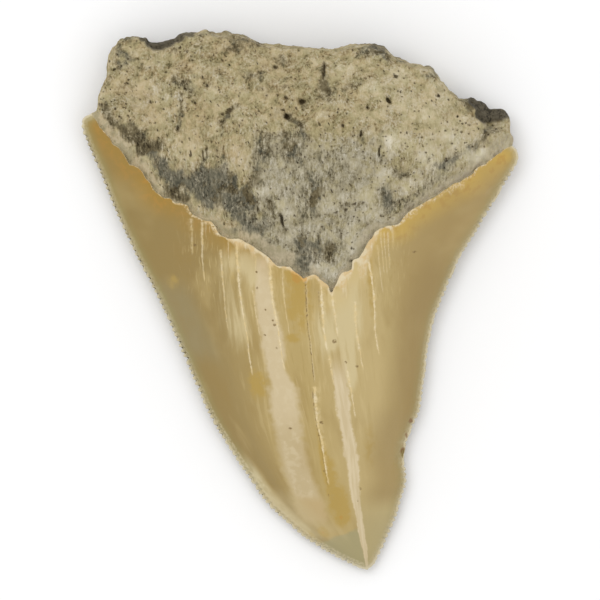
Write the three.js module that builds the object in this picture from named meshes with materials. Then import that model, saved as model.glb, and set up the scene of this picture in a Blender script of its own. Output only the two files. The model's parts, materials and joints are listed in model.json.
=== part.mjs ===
// A fossil megalodon tooth, lying on its flat outer face with the swollen inner face up, in millimetres.
// +Y runs from the tip to the root and +Z is up. The origin is under the middle of the tooth, on the
// surface that it lies on. The tooth grew as one piece, so it is one solid: an enamel crown with two
// serrated cutting edges, and a thick broken root that the enamel meets with a small step.

import * as THREE from "three";
import { mergeVertices } from "three/addons/utils/BufferGeometryUtils.js";

// Driving dimensions
const TOOTH_LENGTH = 72; // from the top of the root to the tip
const SERRATION_PITCH = 0.8;
const SERRATION_DEPTH = 0.26;
const EDGE_HEIGHT = 3; // of the shoulders over the table
const TIP_HEIGHT = 1.3;
const FLAT_GAP = 0.45; // between the outer face and the table, away from the three places that it rests on
const FOOT_HEIGHT = 1.3; // of the root's lower rim over the table
const INNER_STEP = 0.5; // from the enamel down to the root, on the inner face
const OUTER_STEP = 0.3;
const STEP_RUN = 0.35; // how far that step slopes, seen from above
const RIM_ROUNDING = 1.3; // how far the root's rims draw in from its outline
const RIM_FALL = 1.1; // how far its top face has come down at that rim

// Every other number is for a tooth of this length, and the finished shape is scaled to TOOTH_LENGTH.
const DRAWN_LENGTH = 72;

// The left cutting edge, from its shoulder to the tip
const LEFT_EDGE = [
  [-27.8, 24.9], [-28.6, 24.5], [-29.1, 23.8], [-29, 22.5], [-28.2, 20.4], [-26.6, 16.7], [-24.6, 11.7],
  [-21.8, 5.7], [-19.3, 0.9], [-16.5, -5.3], [-13.7, -11.9], [-11.8, -16], [-9.4, -19.9], [-6.7, -24],
  [-4.5, -27.1], [-1.9, -29.6], [1, -32], [5, -34.4], [7.8, -35.7], [9, -36],
];

// The right cutting edge, from its shoulder to the tip. The hollow at y = -21 is a chip.
const RIGHT_EDGE = [
  [28.3, 20.6], [28.9, 20], [29.1, 19.2], [29, 18.3], [28.2, 16.8], [27, 15.2], [25.5, 12.8], [23.6, 9.6],
  [21.1, 5.6], [19.2, 1.2], [18, -2.4], [17.2, -6], [16.8, -9.3], [16.4, -12], [16, -14.7], [15.1, -16.8],
  [14.3, -18.8], [13.9, -20.7], [13.9, -21.6], [14.2, -23.2], [14.1, -24.8], [13.6, -26.4], [12.9, -28.8],
  [11.9, -31.2], [10.8, -33.6], [9.9, -35.2], [9, -36],
];

// The enamel's chipped upper border on the inner face, from shoulder to shoulder
const INNER_NECK = [
  [-27.8, 24.9], [-27.3, 24.1], [-26.2, 22.5], [-25, 21], [-23.4, 19.2], [-22.7, 18.1], [-21.9, 17.8],
  [-21.1, 17.1], [-20.1, 15.6], [-19.1, 14.4], [-17.9, 13.6], [-15.9, 12.7], [-14.9, 12.4], [-14.2, 11.2],
  [-12, 10.4], [-11.1, 9.4], [-10.1, 8.3], [-8.6, 8.1], [-6.6, 7.4], [-5.3, 6.5], [-4.1, 5.5], [-3.1, 4.5],
  [-2.2, 4.6], [-1.3, 4.3], [0.4, 2.8], [0.9, 3.2], [2.1, 3.3], [2.9, 2.7], [3.7, 1.8], [4.2, 0.8], [4.7, 2],
  [5.2, 3], [5.9, 3.8], [6.8, 4.1], [7.1, 5.2], [7.8, 5.7], [8.7, 6.9], [9.5, 8.2], [10.2, 9.1], [11.4, 9.6],
  [13.3, 10.4], [13.9, 11.1], [15.1, 12.1], [16.7, 13.1], [18.7, 14.3], [20.2, 15.2], [21.9, 16.2],
  [23.6, 17.4], [25.3, 18.6], [26.9, 19.9], [28.3, 20.6],
];

// The enamel's upper border on the outer face, which reaches further up the root
const OUTER_NECK = [
  [-27.8, 24.9], [-22.6, 20], [-15.9, 16], [-7.9, 13.3], [0.1, 12.3], [8.1, 12.8], [16.1, 15.2], [22.7, 18],
  [28.3, 20.6],
];

// The root's broken outline, from shoulder to shoulder over the top
const ROOT_OUTLINE = [
  [-27.8, 24.9], [-27.1, 25.4], [-26.9, 27.2], [-26.3, 28.5], [-25.9, 29.7], [-25.9, 31.1], [-25.7, 32.3],
  [-25.3, 33.6], [-24.7, 34.5], [-23.9, 35.2], [-23.1, 35.3], [-21.5, 35.1], [-20.6, 35.1], [-19.9, 34.5],
  [-18.3, 34.3], [-17.5, 34.8], [-16.7, 35.1], [-15.9, 35.6], [-14.3, 35.6], [-12.7, 36], [-11.1, 35.8],
  [-8.7, 35.7], [-7.1, 35.2], [-6.2, 34.7], [-4.7, 34.2], [-3.1, 34], [0.9, 34], [4.1, 33.6], [7.3, 34],
  [8.9, 34.2], [10.5, 34], [11.3, 33.6], [12.1, 32.9], [12.9, 32.3], [14.5, 31.7], [17.7, 31.1],
  [18.5, 30.4], [19.3, 29.1], [20.1, 28.1], [20.9, 27.4], [21.7, 26.9], [23.3, 26.8], [24.1, 26.6],
  [24.9, 26], [25.7, 25.6], [26.5, 25.6], [27.3, 25.4], [27.9, 24.7], [28.1, 23.5], [28.1, 22.4],
  [28.5, 21.6], [28.3, 20.6],
];

// How high the tooth stands over the table: along the crest of its inner face, and along its two sides,
// which are the cutting edges as far as the shoulders and the sides of the root above them. Each pair is a
// Y and its height.
const CREST_HEIGHTS = [
  [-36, TIP_HEIGHT], [-34.5, 2.7], [-31, 4.3], [-25, 6.6], [-15, 9.2], [-5, 11.3], [3, 12.8], [10, 14.7],
  [18, 15.8], [26, 14], [31, 12.2], [36, 10],
];
const CUTTING_HEIGHTS = [[-36, TIP_HEIGHT], [-18, 1.9], [0, 2.4]];
const LEFT_HEIGHTS = [...CUTTING_HEIGHTS, [24.9, EDGE_HEIGHT], [27.5, 5], [31, 6.4], [36, 7.2]];
const RIGHT_HEIGHTS = [...CUTTING_HEIGHTS, [20.6, EDGE_HEIGHT], [23.5, 4.6], [28, 6.6], [36, 7.2]];

// The sides of the root above the shoulders, as X for each Y. They only guide its heights.
const LEFT_GUIDE = [[-28.6, 27], [-28, 31], [-27, 36]];
const RIGHT_GUIDE = [[29.4, 24], [28.6, 28], [27, 32], [25, 36]];

// The ledge at the right of the root, where its inner layer has broken off down to a dark lower one. The
// break runs along these points, and the ledge lies outside it.
const LEDGE_BREAK = [
  [18.4, 31.4], [19.4, 29.5], [21.7, 26.8], [23, 25.2], [24.4, 22.8], [25.8, 21.3], [28, 20.8],
];
const LEDGE_DROP = 3.4;
const LEDGE_SLOPE = 0.9;

// Bites out of the root's top rim: middle, half width along X and Y, and depth
const RIM_BITES = [
  { at: [-18.6, 34.6], reach: [1.9, 1.3], depth: 3.2 },
  { at: [-8.2, 36], reach: [4.2, 1.6], depth: 2.2 },
  { at: [11.6, 34.4], reach: [2.6, 1.5], depth: 1.6 },
];

// The pits that show from a step away, each a shallow bowl: middle, radius and depth
const ROOT_PITS = [
  { at: [0.4, 26.3], radius: 0.7, depth: 0.9 },
  { at: [11.7, 26.5], radius: 0.6, depth: 0.8 },
  { at: [-1.6, 24.4], radius: 0.8, depth: 0.7 },
  { at: [8, 22], radius: 0.6, depth: 0.7 },
  { at: [-9.6, 24.9], radius: 0.6, depth: 0.6 },
  { at: [-2.3, 10.3], radius: 0.8, depth: 0.7 },
];

// The three places where the outer face rests on the table: middle and reach
const RESTING_PLACES = [
  { at: [-17.5, 26.5], reach: 4.6 },
  { at: [17, 24], reach: 4.6 },
  { at: [3.5, -13], reach: 4 },
];
const REST_DEPTH = 3; // how far each would reach below the table, if it weren't worn flat there

// Counts that set how fine the faces are
const CROWN_ROWS = 34;
const CROWN_COLUMNS = 22;
const OUTER_ROWS = 24;
const OUTER_COLUMNS = 16;
const ROOT_ROWS = 17;
const WALL_ROWS = 4;
const ROOT_OUTER_ROWS = 8;

// A polyline through points, as a function from 0 to 1 by length. corners says where each point lies on it.
function broken(points) {
  const line = points.map(([x, y]) => new THREE.Vector2(x, y));
  const run = [0];
  for (let i = 1; i < line.length; i++) run.push(run[i - 1] + line[i].distanceTo(line[i - 1]));
  const length = run[run.length - 1];
  const at = (s) => {
    const target = s * length;
    let i = 1;
    while (i < run.length - 1 && run[i] < target) i++;
    return line[i - 1].clone().lerp(line[i], (target - run[i - 1]) / (run[i] - run[i - 1]));
  };
  return { at, length, corners: run.map((r) => r / length) };
}

// A smooth curve through points, as a function from 0 to 1 by length.
function smooth(points) {
  const curve = new THREE.SplineCurve(points.map(([x, y]) => new THREE.Vector2(x, y)));
  curve.arcLengthDivisions = 1200;
  return { at: (t) => curve.getPointAt(THREE.MathUtils.clamp(t, 0, 1)), length: curve.getLength() };
}

const leftEdge = smooth(LEFT_EDGE);
const rightEdge = smooth(RIGHT_EDGE);
const innerNeck = broken(INNER_NECK);
const outerNeck = smooth(OUTER_NECK);
const rootOutline = broken(ROOT_OUTLINE);

// A smooth function through points that each give a place and its value
function through(points) {
  const slope = (i) => {
    const [a, b] = [points[Math.max(i - 1, 0)], points[Math.min(i + 1, points.length - 1)]];
    return (b[1] - a[1]) / (b[0] - a[0]);
  };
  return (place) => {
    let i = 1;
    while (i < points.length - 1 && points[i][0] < place) i++;
    const [[x0, y0], [x1, y1]] = [points[i - 1], points[i]];
    const u = THREE.MathUtils.clamp((place - x0) / (x1 - x0), 0, 1);
    const run = x1 - x0;
    const [leaves, arrives] = [slope(i - 1) * run - y1 + y0, slope(i) * run - y1 + y0];
    const bend = u * (1 - u) * ((1 - u) * leaves - u * arrives);
    return THREE.MathUtils.lerp(y0, y1, u) + bend;
  };
}

const crestHeight = through(CREST_HEIGHTS);
const leftHeight = through(LEFT_HEIGHTS);
const rightHeight = through(RIGHT_HEIGHTS);

// X of a side for each Y: its cutting edge, without the two points that round the shoulder, and its guide
const side = (edge, guide) => through([...edge.slice(2).reverse(), ...guide].map(([x, y]) => [y, x]));
const leftSide = side(LEFT_EDGE, LEFT_GUIDE);
const rightSide = side(RIGHT_EDGE, RIGHT_GUIDE);

// Share of the way across the tooth, from its left side to its right one
const across = (x, y) => THREE.MathUtils.clamp((x - leftSide(y)) / (rightSide(y) - leftSide(y)), 0, 1);

// Share of the way in from the nearer side to the crest, which lies right of the middle
const CREST = 0.56;
const inward = (share) => (share < CREST ? share / CREST : (1 - share) / (1 - CREST));

// Cross-section of the inner face: 0 at the sides and 1 on the crest, thin like a blade near the sides
const LENS_POWER = 2.2;
const BLADE_POWER = 1.12;
const lens = (share) => Math.pow(1 - Math.pow(1 - inward(share), LENS_POWER), BLADE_POWER);

// Height of the two sides, mixed by the share of the way across
const sideHeight = (share, y) => THREE.MathUtils.lerp(leftHeight(y), rightHeight(y), share);

// Height of the inner face over the table
function innerHeight(x, y) {
  const share = across(x, y);
  return THREE.MathUtils.lerp(sideHeight(share, y), crestHeight(y), lens(share));
}

// The outer face of the crown lies near the table and curls up to the cutting edges and the tip.
const CURL_POWER = 3;
const TIP_CURL = 14; // how far from the tip it starts to curl up
function outerHeight(x, y) {
  const share = across(x, y);
  const fromTip = THREE.MathUtils.clamp((y + DRAWN_LENGTH / 2) / TIP_CURL, 0, 1);
  const flat = (1 - Math.pow(1 - inward(share), CURL_POWER)) * Math.sqrt(fromTip);
  return THREE.MathUtils.lerp(sideHeight(share, y), FLAT_GAP, flat);
}

// A point of the crown seen from above: s goes across from the left edge to the right one, and t goes down
// from the neck to the tip. It is the straight mix of the two edges, moved by the neck's own dip.
function crownPlace(neck, s, t) {
  const left = leftEdge.at(t);
  const right = rightEdge.at(t);
  const chord = leftEdge.at(0).lerp(rightEdge.at(0), s);
  const dip = neck.at(s).sub(chord).multiplyScalar(1 - t);
  return left.lerp(right, s).add(dip);
}

// The outer face is worn flat where it rests, so nothing is below the table.
function rested(x, y, z) {
  let dip = 0;
  for (const { at, reach } of RESTING_PLACES) {
    const far = Math.hypot(x - at[0], y - at[1]) / reach;
    dip += REST_DEPTH * Math.exp(-far * far);
  }
  return Math.max(0, z - dip);
}

// Distance outside the ledge's break, negative on its inner side
function pastBreak(x, y) {
  let best = Infinity;
  let outside = -1;
  for (let i = 1; i < LEDGE_BREAK.length; i++) {
    const [ax, ay] = LEDGE_BREAK[i - 1];
    const [bx, by] = LEDGE_BREAK[i];
    const [dx, dy] = [bx - ax, by - ay];
    const share = THREE.MathUtils.clamp(((x - ax) * dx + (y - ay) * dy) / (dx * dx + dy * dy), 0, 1);
    const gap = Math.hypot(x - ax - share * dx, y - ay - share * dy);
    if (gap < best) {
      best = gap;
      outside = (y - ay) * dx - (x - ax) * dy > 0 ? 1 : -1;
    }
  }
  return best * outside;
}

// How far the broken places and pits take the root's inner face down
function damage(x, y) {
  let down = LEDGE_DROP * THREE.MathUtils.smoothstep(pastBreak(x, y), 0, LEDGE_SLOPE);
  for (const { at, reach, depth } of RIM_BITES) {
    const far = Math.hypot((x - at[0]) / reach[0], (y - at[1]) / reach[1]);
    down += depth * (1 - THREE.MathUtils.smoothstep(far, 0.55, 1.1));
  }
  for (const { at, radius, depth } of ROOT_PITS) {
    const far = Math.hypot(x - at[0], y - at[1]) / radius;
    down += depth * Math.max(0, 1 - far * far);
  }
  return down;
}

// The root's uneven surface, as a few crossing waves
const LUMP = 0.22;
const lumps = (x, y) =>
  LUMP *
  (Math.sin(0.83 * x + 1.7 * Math.sin(0.41 * y)) +
    Math.sin(1.13 * y + 1.3 * Math.sin(0.57 * x + 2)) +
    0.6 * Math.sin(1.9 * x - 1.4 * y + 1.1 * Math.sin(0.9 * y)));

const footHeight = (s) => THREE.MathUtils.lerp(FOOT_HEIGHT, EDGE_HEIGHT, Math.pow(Math.abs(2 * s - 1), 6));

// The rims draw in from the outline, except at the shoulders, where the root runs out to a point.
const rimInset = (s) => RIM_ROUNDING * Math.min(1, 8 * s, 8 * (1 - s));
function drawnIn(s, neck, inset) {
  const place = rootOutline.at(s);
  const towards = neck.at(s).sub(place);
  return place.add(towards.setLength(Math.min(inset, 0.4 * towards.length())));
}

// A point of the root's inner face: r goes up from the neck to the top rim.
function rootTop(s, r) {
  const start = innerNeck.at(s);
  const rim = drawnIn(s, innerNeck, rimInset(s));
  const stepRun = STEP_RUN / Math.max(start.distanceTo(rim), 1);
  const { x, y } = start.lerp(rim, stepRun + (1 - stepRun) * r);
  const whole = Math.min(1, 12 * s, 12 * (1 - s)); // fades the step and the damage out at the shoulders
  const plain = innerHeight(x, y) - whole * (INNER_STEP + RIM_FALL * Math.pow(r, 6));
  const rough = lumps(x, y) * Math.min(1, 5 * r) - damage(x, y);
  return [x, y, Math.max(plain + whole * rough, footHeight(s) + whole)];
}

// A point of the root's side: w goes down from the top rim to the lower one.
function rootSide(s, w) {
  const [, , top] = rootTop(s, 1);
  const { x, y } = drawnIn(s, innerNeck, rimInset(s) * Math.pow(Math.abs(2 * w - 1), 2.6));
  return [x, y, THREE.MathUtils.lerp(top, footHeight(s), w)];
}

// A point of the root's outer face: r goes from the neck to the lower rim.
function rootUnder(s, r) {
  const start = outerNeck.at(s);
  const rim = drawnIn(s, innerNeck, rimInset(s));
  const stepRun = STEP_RUN / Math.max(start.distanceTo(rim), 1);
  const { x, y } = start.lerp(rim, stepRun + (1 - stepRun) * r);
  const neckHeight = outerHeight(x, y) + OUTER_STEP * Math.min(1, 12 * s, 12 * (1 - s));
  const hollow = 0.5 * lens(s) * 4 * r * (1 - r);
  const z = THREE.MathUtils.lerp(neckHeight, footHeight(s), r * r) + hollow;
  return [x, y, r === 1 ? z : rested(x, y, z)];
}

// The solid's vertices and faces
const positions = [];
const faces = [];
const vertex = ([x, y, z]) => positions.push(x, y, z) / 3 - 1;

// Joins two rows of vertices by triangles, going along whichever row is behind. Each entry is its place
// along the row and its vertex. Seen from outside, both run left to right and the second is above the first.
function stitch(lower, upper) {
  let [i, j] = [0, 0];
  const add = (a, b, c) => a !== b && b !== c && c !== a && faces.push(a, b, c);
  while (i < lower.length - 1 || j < upper.length - 1) {
    const nextLower = i < lower.length - 1 ? lower[i].at + lower[i + 1].at : Infinity;
    const nextUpper = j < upper.length - 1 ? upper[j].at + upper[j + 1].at : Infinity;
    if (nextLower <= nextUpper) {
      add(lower[i].id, lower[i + 1].id, upper[j].id);
      i++;
    } else {
      add(lower[i].id, upper[j + 1].id, upper[j].id);
      j++;
    }
  }
}

const evenly = (count) => Array.from({ length: count - 1 }, (_, i) => (i + 1) / count);

const edgeVertex = ({ x, y }, height) => vertex([x, y, height(y)]);
const tip = edgeVertex(leftEdge.at(1), leftHeight);
const leftShoulder = edgeVertex(leftEdge.at(0), leftHeight);
const rightShoulder = edgeVertex(rightEdge.at(0), rightHeight);

// A row across the tooth, with a vertex at each place between the two shoulders
const rowAcross = (places, point) => [
  { at: 0, id: leftShoulder },
  ...places.map((s) => ({ at: s, id: vertex(point(s)) })),
  { at: 1, id: rightShoulder },
];

// A cutting edge from the tip to its shoulder, cut into serrations that fade out towards the shoulder and
// grow shallower at the tip. Every second vertex is the foot of a notch.
const SMOOTH_SHOULDER = 3;
function serratedEdge(edge, height, inwardSign, shoulder) {
  const count = 2 * Math.round((edge.length - SMOOTH_SHOULDER) / SERRATION_PITCH);
  const first = SMOOTH_SHOULDER / edge.length;
  const row = [{ at: -1, id: tip }];
  for (let k = 1; k <= count; k++) {
    const t = 1 - ((1 - first) * k) / count;
    const place = edge.at(t);
    const ahead = edge.at(t + 0.004).sub(edge.at(t - 0.004)).normalize();
    const depth = k % 2 ? SERRATION_DEPTH * (1 - 0.45 * t) : 0;
    place.add(new THREE.Vector2(-ahead.y, ahead.x).multiplyScalar(inwardSign * depth));
    row.push({ at: -t, id: edgeVertex(place, height) });
  }
  for (const share of [0.72, 0.5, 0.34, 0.2, 0.08]) {
    const t = first * share;
    row.push({ at: -t, id: edgeVertex(edge.at(t), height) });
  }
  row.push({ at: 0, id: shoulder });
  return row;
}

const leftTeeth = serratedEdge(leftEdge, leftHeight, 1, leftShoulder);
const rightTeeth = serratedEdge(rightEdge, rightHeight, -1, rightShoulder);

// Columns stand closer together near the cutting edges.
const blade = (u) => 0.5 - 0.5 * Math.sign(1 - 2 * u) * Math.pow(Math.abs(1 - 2 * u), 0.8);

// One face of the crown, inside its serrated rim. Returns its row nearest the neck.
function crownFace(neck, height, rowCount, columnCount, isInner) {
  const across = evenly(columnCount).map(blade);
  const down = evenly(rowCount);
  const grid = down.map((t) =>
    across.map((s) => {
      const { x, y } = crownPlace(neck, s, t);
      return { at: s, id: vertex([x, y, height(x, y)]) };
    }),
  );
  const join = (low, high) => (isInner ? stitch(low, high) : stitch(high, low));
  const column = (k) => [...down.keys()].reverse().map((i) => ({ at: -down[i], id: grid[i][k].id }));
  for (let i = 1; i < grid.length; i++) join(grid[i], grid[i - 1]);
  join([{ at: 0.5, id: tip }], grid[grid.length - 1]);
  join(column(0), leftTeeth);
  join(rightTeeth, column(across.length - 1));
  return grid[0];
}

function crown() {
  const restedHeight = (x, y) => rested(x, y, outerHeight(x, y));
  const innerTop = crownFace(innerNeck, innerHeight, CROWN_ROWS, CROWN_COLUMNS, true);
  const outerTop = crownFace(outerNeck, restedHeight, OUTER_ROWS, OUTER_COLUMNS, false);
  const neckPlaces = innerNeck.corners.slice(1, -1);
  const neck = rowAcross(neckPlaces, (s) => {
    const { x, y } = innerNeck.at(s);
    return [x, y, innerHeight(x, y)];
  });
  const underPlaces = evenly(OUTER_COLUMNS + 8);
  const under = rowAcross(underPlaces, (s) => {
    const { x, y } = outerNeck.at(s);
    return [x, y, restedHeight(x, y)];
  });
  stitch(innerTop, neck);
  stitch(under, outerTop);
  return { neck, neckPlaces, under, underPlaces };
}

// The root, from the inner neck up its inner face, down its side and back along its outer face
function root({ neck, neckPlaces, under, underPlaces }) {
  const outlinePlaces = rootOutline.corners.slice(1, -1).flatMap((s, i) => {
    const next = rootOutline.corners[i + 2];
    return (next - s) * rootOutline.length > 1.1 ? [s, (s + next) / 2] : [s];
  });
  let last = neck;
  const add = (row) => {
    stitch(last, row);
    last = row;
  };
  for (const r of [0, ...evenly(ROOT_ROWS)]) add(rowAcross(neckPlaces, (s) => rootTop(s, r)));
  add(rowAcross(outlinePlaces, (s) => rootTop(s, 1)));
  for (const w of evenly(WALL_ROWS)) add(rowAcross(outlinePlaces, (s) => rootSide(s, w)));
  add(rowAcross(outlinePlaces, (s) => rootUnder(s, 1)));
  for (const r of evenly(ROOT_OUTER_ROWS).reverse()) add(rowAcross(underPlaces, (s) => rootUnder(s, r)));
  add(rowAcross(underPlaces, (s) => rootUnder(s, 0)));
  add(under);
}

function toothGeometry() {
  root(crown());
  const geometry = new THREE.BufferGeometry();
  geometry.setAttribute("position", new THREE.Float32BufferAttribute(positions, 3));
  geometry.setIndex(faces);
  const merged = mergeVertices(geometry, 1e-3);
  merged.computeBoundingBox();
  const middle = merged.boundingBox.getCenter(new THREE.Vector3());
  const scale = TOOTH_LENGTH / DRAWN_LENGTH;
  merged.translate(-middle.x, -middle.y, 0).scale(scale, scale, scale);
  merged.computeVertexNormals();
  return merged;
}

const tooth = new THREE.Mesh(
  toothGeometry(),
  new THREE.MeshStandardMaterial({ color: 0xb4a26c, roughness: 0.45, metalness: 0 }),
);
tooth.name = "tooth";

const fossil = new THREE.Group();
fossil.add(tooth);

export default fossil;
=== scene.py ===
"""A fossil megalodon tooth that lies on its flat outer face, seen from above.

The tooth is one closed surface, worked out with numpy in millimetres and written as one mesh. The photo's
right is +X, its top, where the root is, is +Y, and +Z is up, out of the swollen inner face.
"""

import json
import math

import bpy
import numpy as np
from bpy.props import FloatProperty, FloatVectorProperty, PointerProperty
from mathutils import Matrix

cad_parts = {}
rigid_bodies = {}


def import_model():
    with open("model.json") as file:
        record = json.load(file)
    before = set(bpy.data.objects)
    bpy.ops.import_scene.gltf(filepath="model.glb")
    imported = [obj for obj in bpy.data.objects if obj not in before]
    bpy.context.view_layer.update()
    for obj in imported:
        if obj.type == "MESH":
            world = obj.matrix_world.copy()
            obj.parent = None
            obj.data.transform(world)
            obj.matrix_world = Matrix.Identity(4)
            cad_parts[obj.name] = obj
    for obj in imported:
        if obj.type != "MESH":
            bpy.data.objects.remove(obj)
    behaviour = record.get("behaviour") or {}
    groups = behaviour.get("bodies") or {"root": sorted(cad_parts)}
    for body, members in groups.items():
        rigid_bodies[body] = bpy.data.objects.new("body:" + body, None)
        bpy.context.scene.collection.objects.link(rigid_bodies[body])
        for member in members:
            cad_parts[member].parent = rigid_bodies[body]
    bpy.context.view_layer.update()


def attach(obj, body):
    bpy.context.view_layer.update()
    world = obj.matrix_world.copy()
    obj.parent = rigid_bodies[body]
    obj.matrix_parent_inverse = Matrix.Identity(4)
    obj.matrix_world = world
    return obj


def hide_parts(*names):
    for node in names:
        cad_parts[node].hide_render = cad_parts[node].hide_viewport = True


bl_info = {
    "name": "Fossil Tooth",
    "version": (1, 0, 0),
    "blender": (4, 5, 0),
    "location": "View3D > Sidebar > Fossil",
    "description": "Builds a fossil megalodon tooth with serrated enamel and a broken root",
    "category": "Add Mesh",
}

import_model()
MM = 0.001

# Outlines in millimetres, seen from above. The left cutting edge runs from its shoulder to the tip.
LEFT_EDGE = [
    (-27.8, 24.9), (-28.6, 24.5), (-29.1, 23.8), (-29, 22.5), (-28.2, 20.4), (-26.6, 16.7), (-24.6, 11.7),
    (-21.8, 5.7), (-19.3, 0.9), (-16.5, -5.3), (-13.7, -11.9), (-11.8, -16), (-9.4, -19.9), (-6.7, -24),
    (-4.5, -27.1), (-1.9, -29.6), (1, -32), (5, -34.4), (7.8, -35.7), (9, -36),
]
# So does the right one. Its hollow at y = -21 is a chip.
RIGHT_EDGE = [
    (28.3, 20.6), (28.9, 20), (29.1, 19.2), (29, 18.3), (28.2, 16.8), (27.1, 15.1), (25.7, 12.7),
    (23.8, 9.5), (21.3, 5.5), (19.4, 1.1), (18, -2.4), (17.2, -6), (16.8, -9.3), (16.4, -12), (16, -14.7),
    (15.1, -16.8), (14.3, -18.8), (13.9, -20.7), (13.9, -21.6), (14.2, -23.2), (14.1, -24.8), (13.6, -26.4),
    (12.9, -28.8), (11.9, -31.2), (10.8, -33.6), (9.9, -35.2), (9, -36),
]
# The enamel's chipped upper border on the inner face, from shoulder to shoulder
INNER_NECK = [
    (-27.8, 24.9), (-27.3, 24.1), (-26.2, 22.5), (-25, 21), (-23.4, 19.2), (-22.7, 18.1), (-21.9, 17.8),
    (-21.1, 17.1), (-20.1, 15.6), (-19.1, 14.4), (-17.9, 13.6), (-15.9, 12.7), (-14.9, 12.4), (-14.2, 11.2),
    (-12, 10.4), (-11.1, 9.4), (-10.1, 8.3), (-8.6, 8.1), (-6.6, 7.4), (-5.3, 6.5), (-4.1, 5.5),
    (-3.1, 4.5), (-2.2, 4.6), (-1.3, 4.3), (0.4, 2.8), (0.9, 3.2), (2.1, 3.3), (2.9, 2.7), (3.7, 1.8),
    (4.2, 0.8), (4.7, 2), (5.2, 3), (5.9, 3.8), (6.8, 4.1), (7.1, 5.2), (7.8, 5.7), (8.7, 6.9), (9.5, 8.2),
    (10.2, 9.1), (11.4, 9.6), (13.3, 10.4), (13.9, 11.1), (15.1, 12.1), (16.7, 13.1), (18.7, 14.3),
    (20.2, 15.2), (21.9, 16.2), (23.6, 17.4), (25.3, 18.6), (26.9, 19.9), (28.3, 20.6),
]
# The enamel's upper border on the outer face
OUTER_NECK = [
    (-27.8, 24.9), (-22.6, 20), (-15.9, 16), (-7.9, 13.3), (0.1, 12.3), (8.1, 12.8), (16.1, 15.2),
    (22.7, 18), (28.3, 20.6),
]
# The root's broken outline, from shoulder to shoulder over the top
ROOT_OUTLINE = [
    (-27.8, 24.9), (-27.1, 25.4), (-26.9, 27.2), (-26.3, 28.5), (-25.8, 29.7), (-25.7, 31.1), (-25.5, 32.3),
    (-25.1, 33.5), (-24.6, 34.2), (-23.9, 34.9), (-23.1, 35.2), (-21.5, 35.1), (-20.6, 35.1), (-19.9, 34.6),
    (-18.3, 34.5), (-17.5, 34.8), (-16.7, 35.1), (-15.9, 35.6), (-14.3, 35.6), (-12.7, 36), (-11.1, 35.8),
    (-8.7, 35.7), (-7.1, 35.2), (-6.2, 34.7), (-4.7, 34.1), (-3.1, 33.9), (0.9, 33.9), (4.1, 33.6),
    (7.3, 33.9), (8.9, 34.2), (10.5, 34), (11.3, 33.6), (12.1, 32.9), (12.9, 32.3), (14.5, 31.7),
    (17.3, 31.1), (18.1, 30.5), (18.7, 29.5), (19.4, 28.8), (20.1, 28), (20.9, 27.3), (21.7, 26.9),
    (23.3, 26.8), (24.1, 26.6), (24.9, 26.1), (25.7, 25.6), (26.5, 25.5), (27.3, 25.3), (27.8, 24.7),
    (28, 23.5), (28.1, 22.4), (28.5, 21.6), (28.3, 20.6),
]

# Heights over the table as (y, height): along the crest, and along the two sides, which are the cutting
# edges as far as the shoulders and the root's sides above them
EDGE_HEIGHT = 3.0
TIP_HEIGHT = 1.3
CREST_HEIGHTS = [
    (-36, TIP_HEIGHT), (-34.5, 2.7), (-31, 4.3), (-25, 6.6), (-15, 9.2), (-5, 11.3), (3, 12.8), (10, 14.7),
    (18, 15.8), (26, 14), (31, 12.2), (36, 10),
]
CUTTING_HEIGHTS = [(-36, TIP_HEIGHT), (-18, 1.9), (0, 2.4)]
LEFT_HEIGHTS = CUTTING_HEIGHTS + [(24.9, EDGE_HEIGHT), (27.5, 5), (31, 6.4), (36, 7.2)]
RIGHT_HEIGHTS = CUTTING_HEIGHTS + [(20.6, EDGE_HEIGHT), (23.5, 4.6), (28, 6.6), (36, 7.2)]
LEFT_GUIDE = [(-28.6, 27), (-28, 31), (-27, 36)]
RIGHT_GUIDE = [(29.4, 24), (28.6, 28), (27, 32), (25, 36)]

# The crest's share of the way across, and how the faces curve up to the sides and the tip
CREST = 0.56
LENS_POWER = 2.2
BLADE_POWER = 1.12
CURL_POWER = 3
TIP_CURL = 14  # millimetres of the outer face that curl up to the tip

FLAT_GAP = 0.45  # between the outer face and the table
FOOT_HEIGHT = 1.3  # of the root's lower rim
INNER_STEP = 0.5  # from the enamel to the root, on the inner face and on the outer one
OUTER_STEP = 0.3
RIM_ROUNDING = 1.3  # how far the root's lower rim draws in, and the top rim's share of that
TOP_ROUNDING = 0.4
RIM_FALL = 1.1  # how far the root's inner face falls towards its rim
# Places of the outer face that are worn flat: middle and reach
RESTING_PLACES = [((-17.5, 26.5), 4.6), ((17, 24), 4.6), ((3.5, -13), 4.0)]
REST_DEPTH = 3.0

# The ledge at the right of the root, outside this line
LEDGE_BREAK = [(18.4, 31.4), (19.4, 29.5), (21.7, 26.8), (23, 25.2), (24.4, 22.8), (25.8, 21.3), (28, 20.8)]
LEDGE_DROP = 3.4
LEDGE_SLOPE = 0.5
LEDGE_FOOT = (21.8, 23.6)  # it rises back to the root's face between these two Y
# The knob at the outer end of the ledge: middle, half width along X and Y, and height
LEDGE_LUMP = ((27.2, 24.1), (0.9, 1.6), 1.3)
# Bites out of the root's top rim: middle, half width along X and Y, depth, and how dark they are
RIM_BITES = [
    ((-18.7, 34.5), (2.1, 1.35), 3.2, 1.0), ((-16.3, 35), (1.1, 0.75), 1.6, 0.9),
    ((-15, 35.6), (1, 0.6), 1.2, 0.8), ((-20.8, 34.9), (0.8, 0.6), 1.2, 0.8),
    ((-8.2, 36), (4.2, 1.6), 2.2, 0.2), ((11.4, 34.4), (2.6, 1.5), 1.6, 0.6),
]
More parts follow.
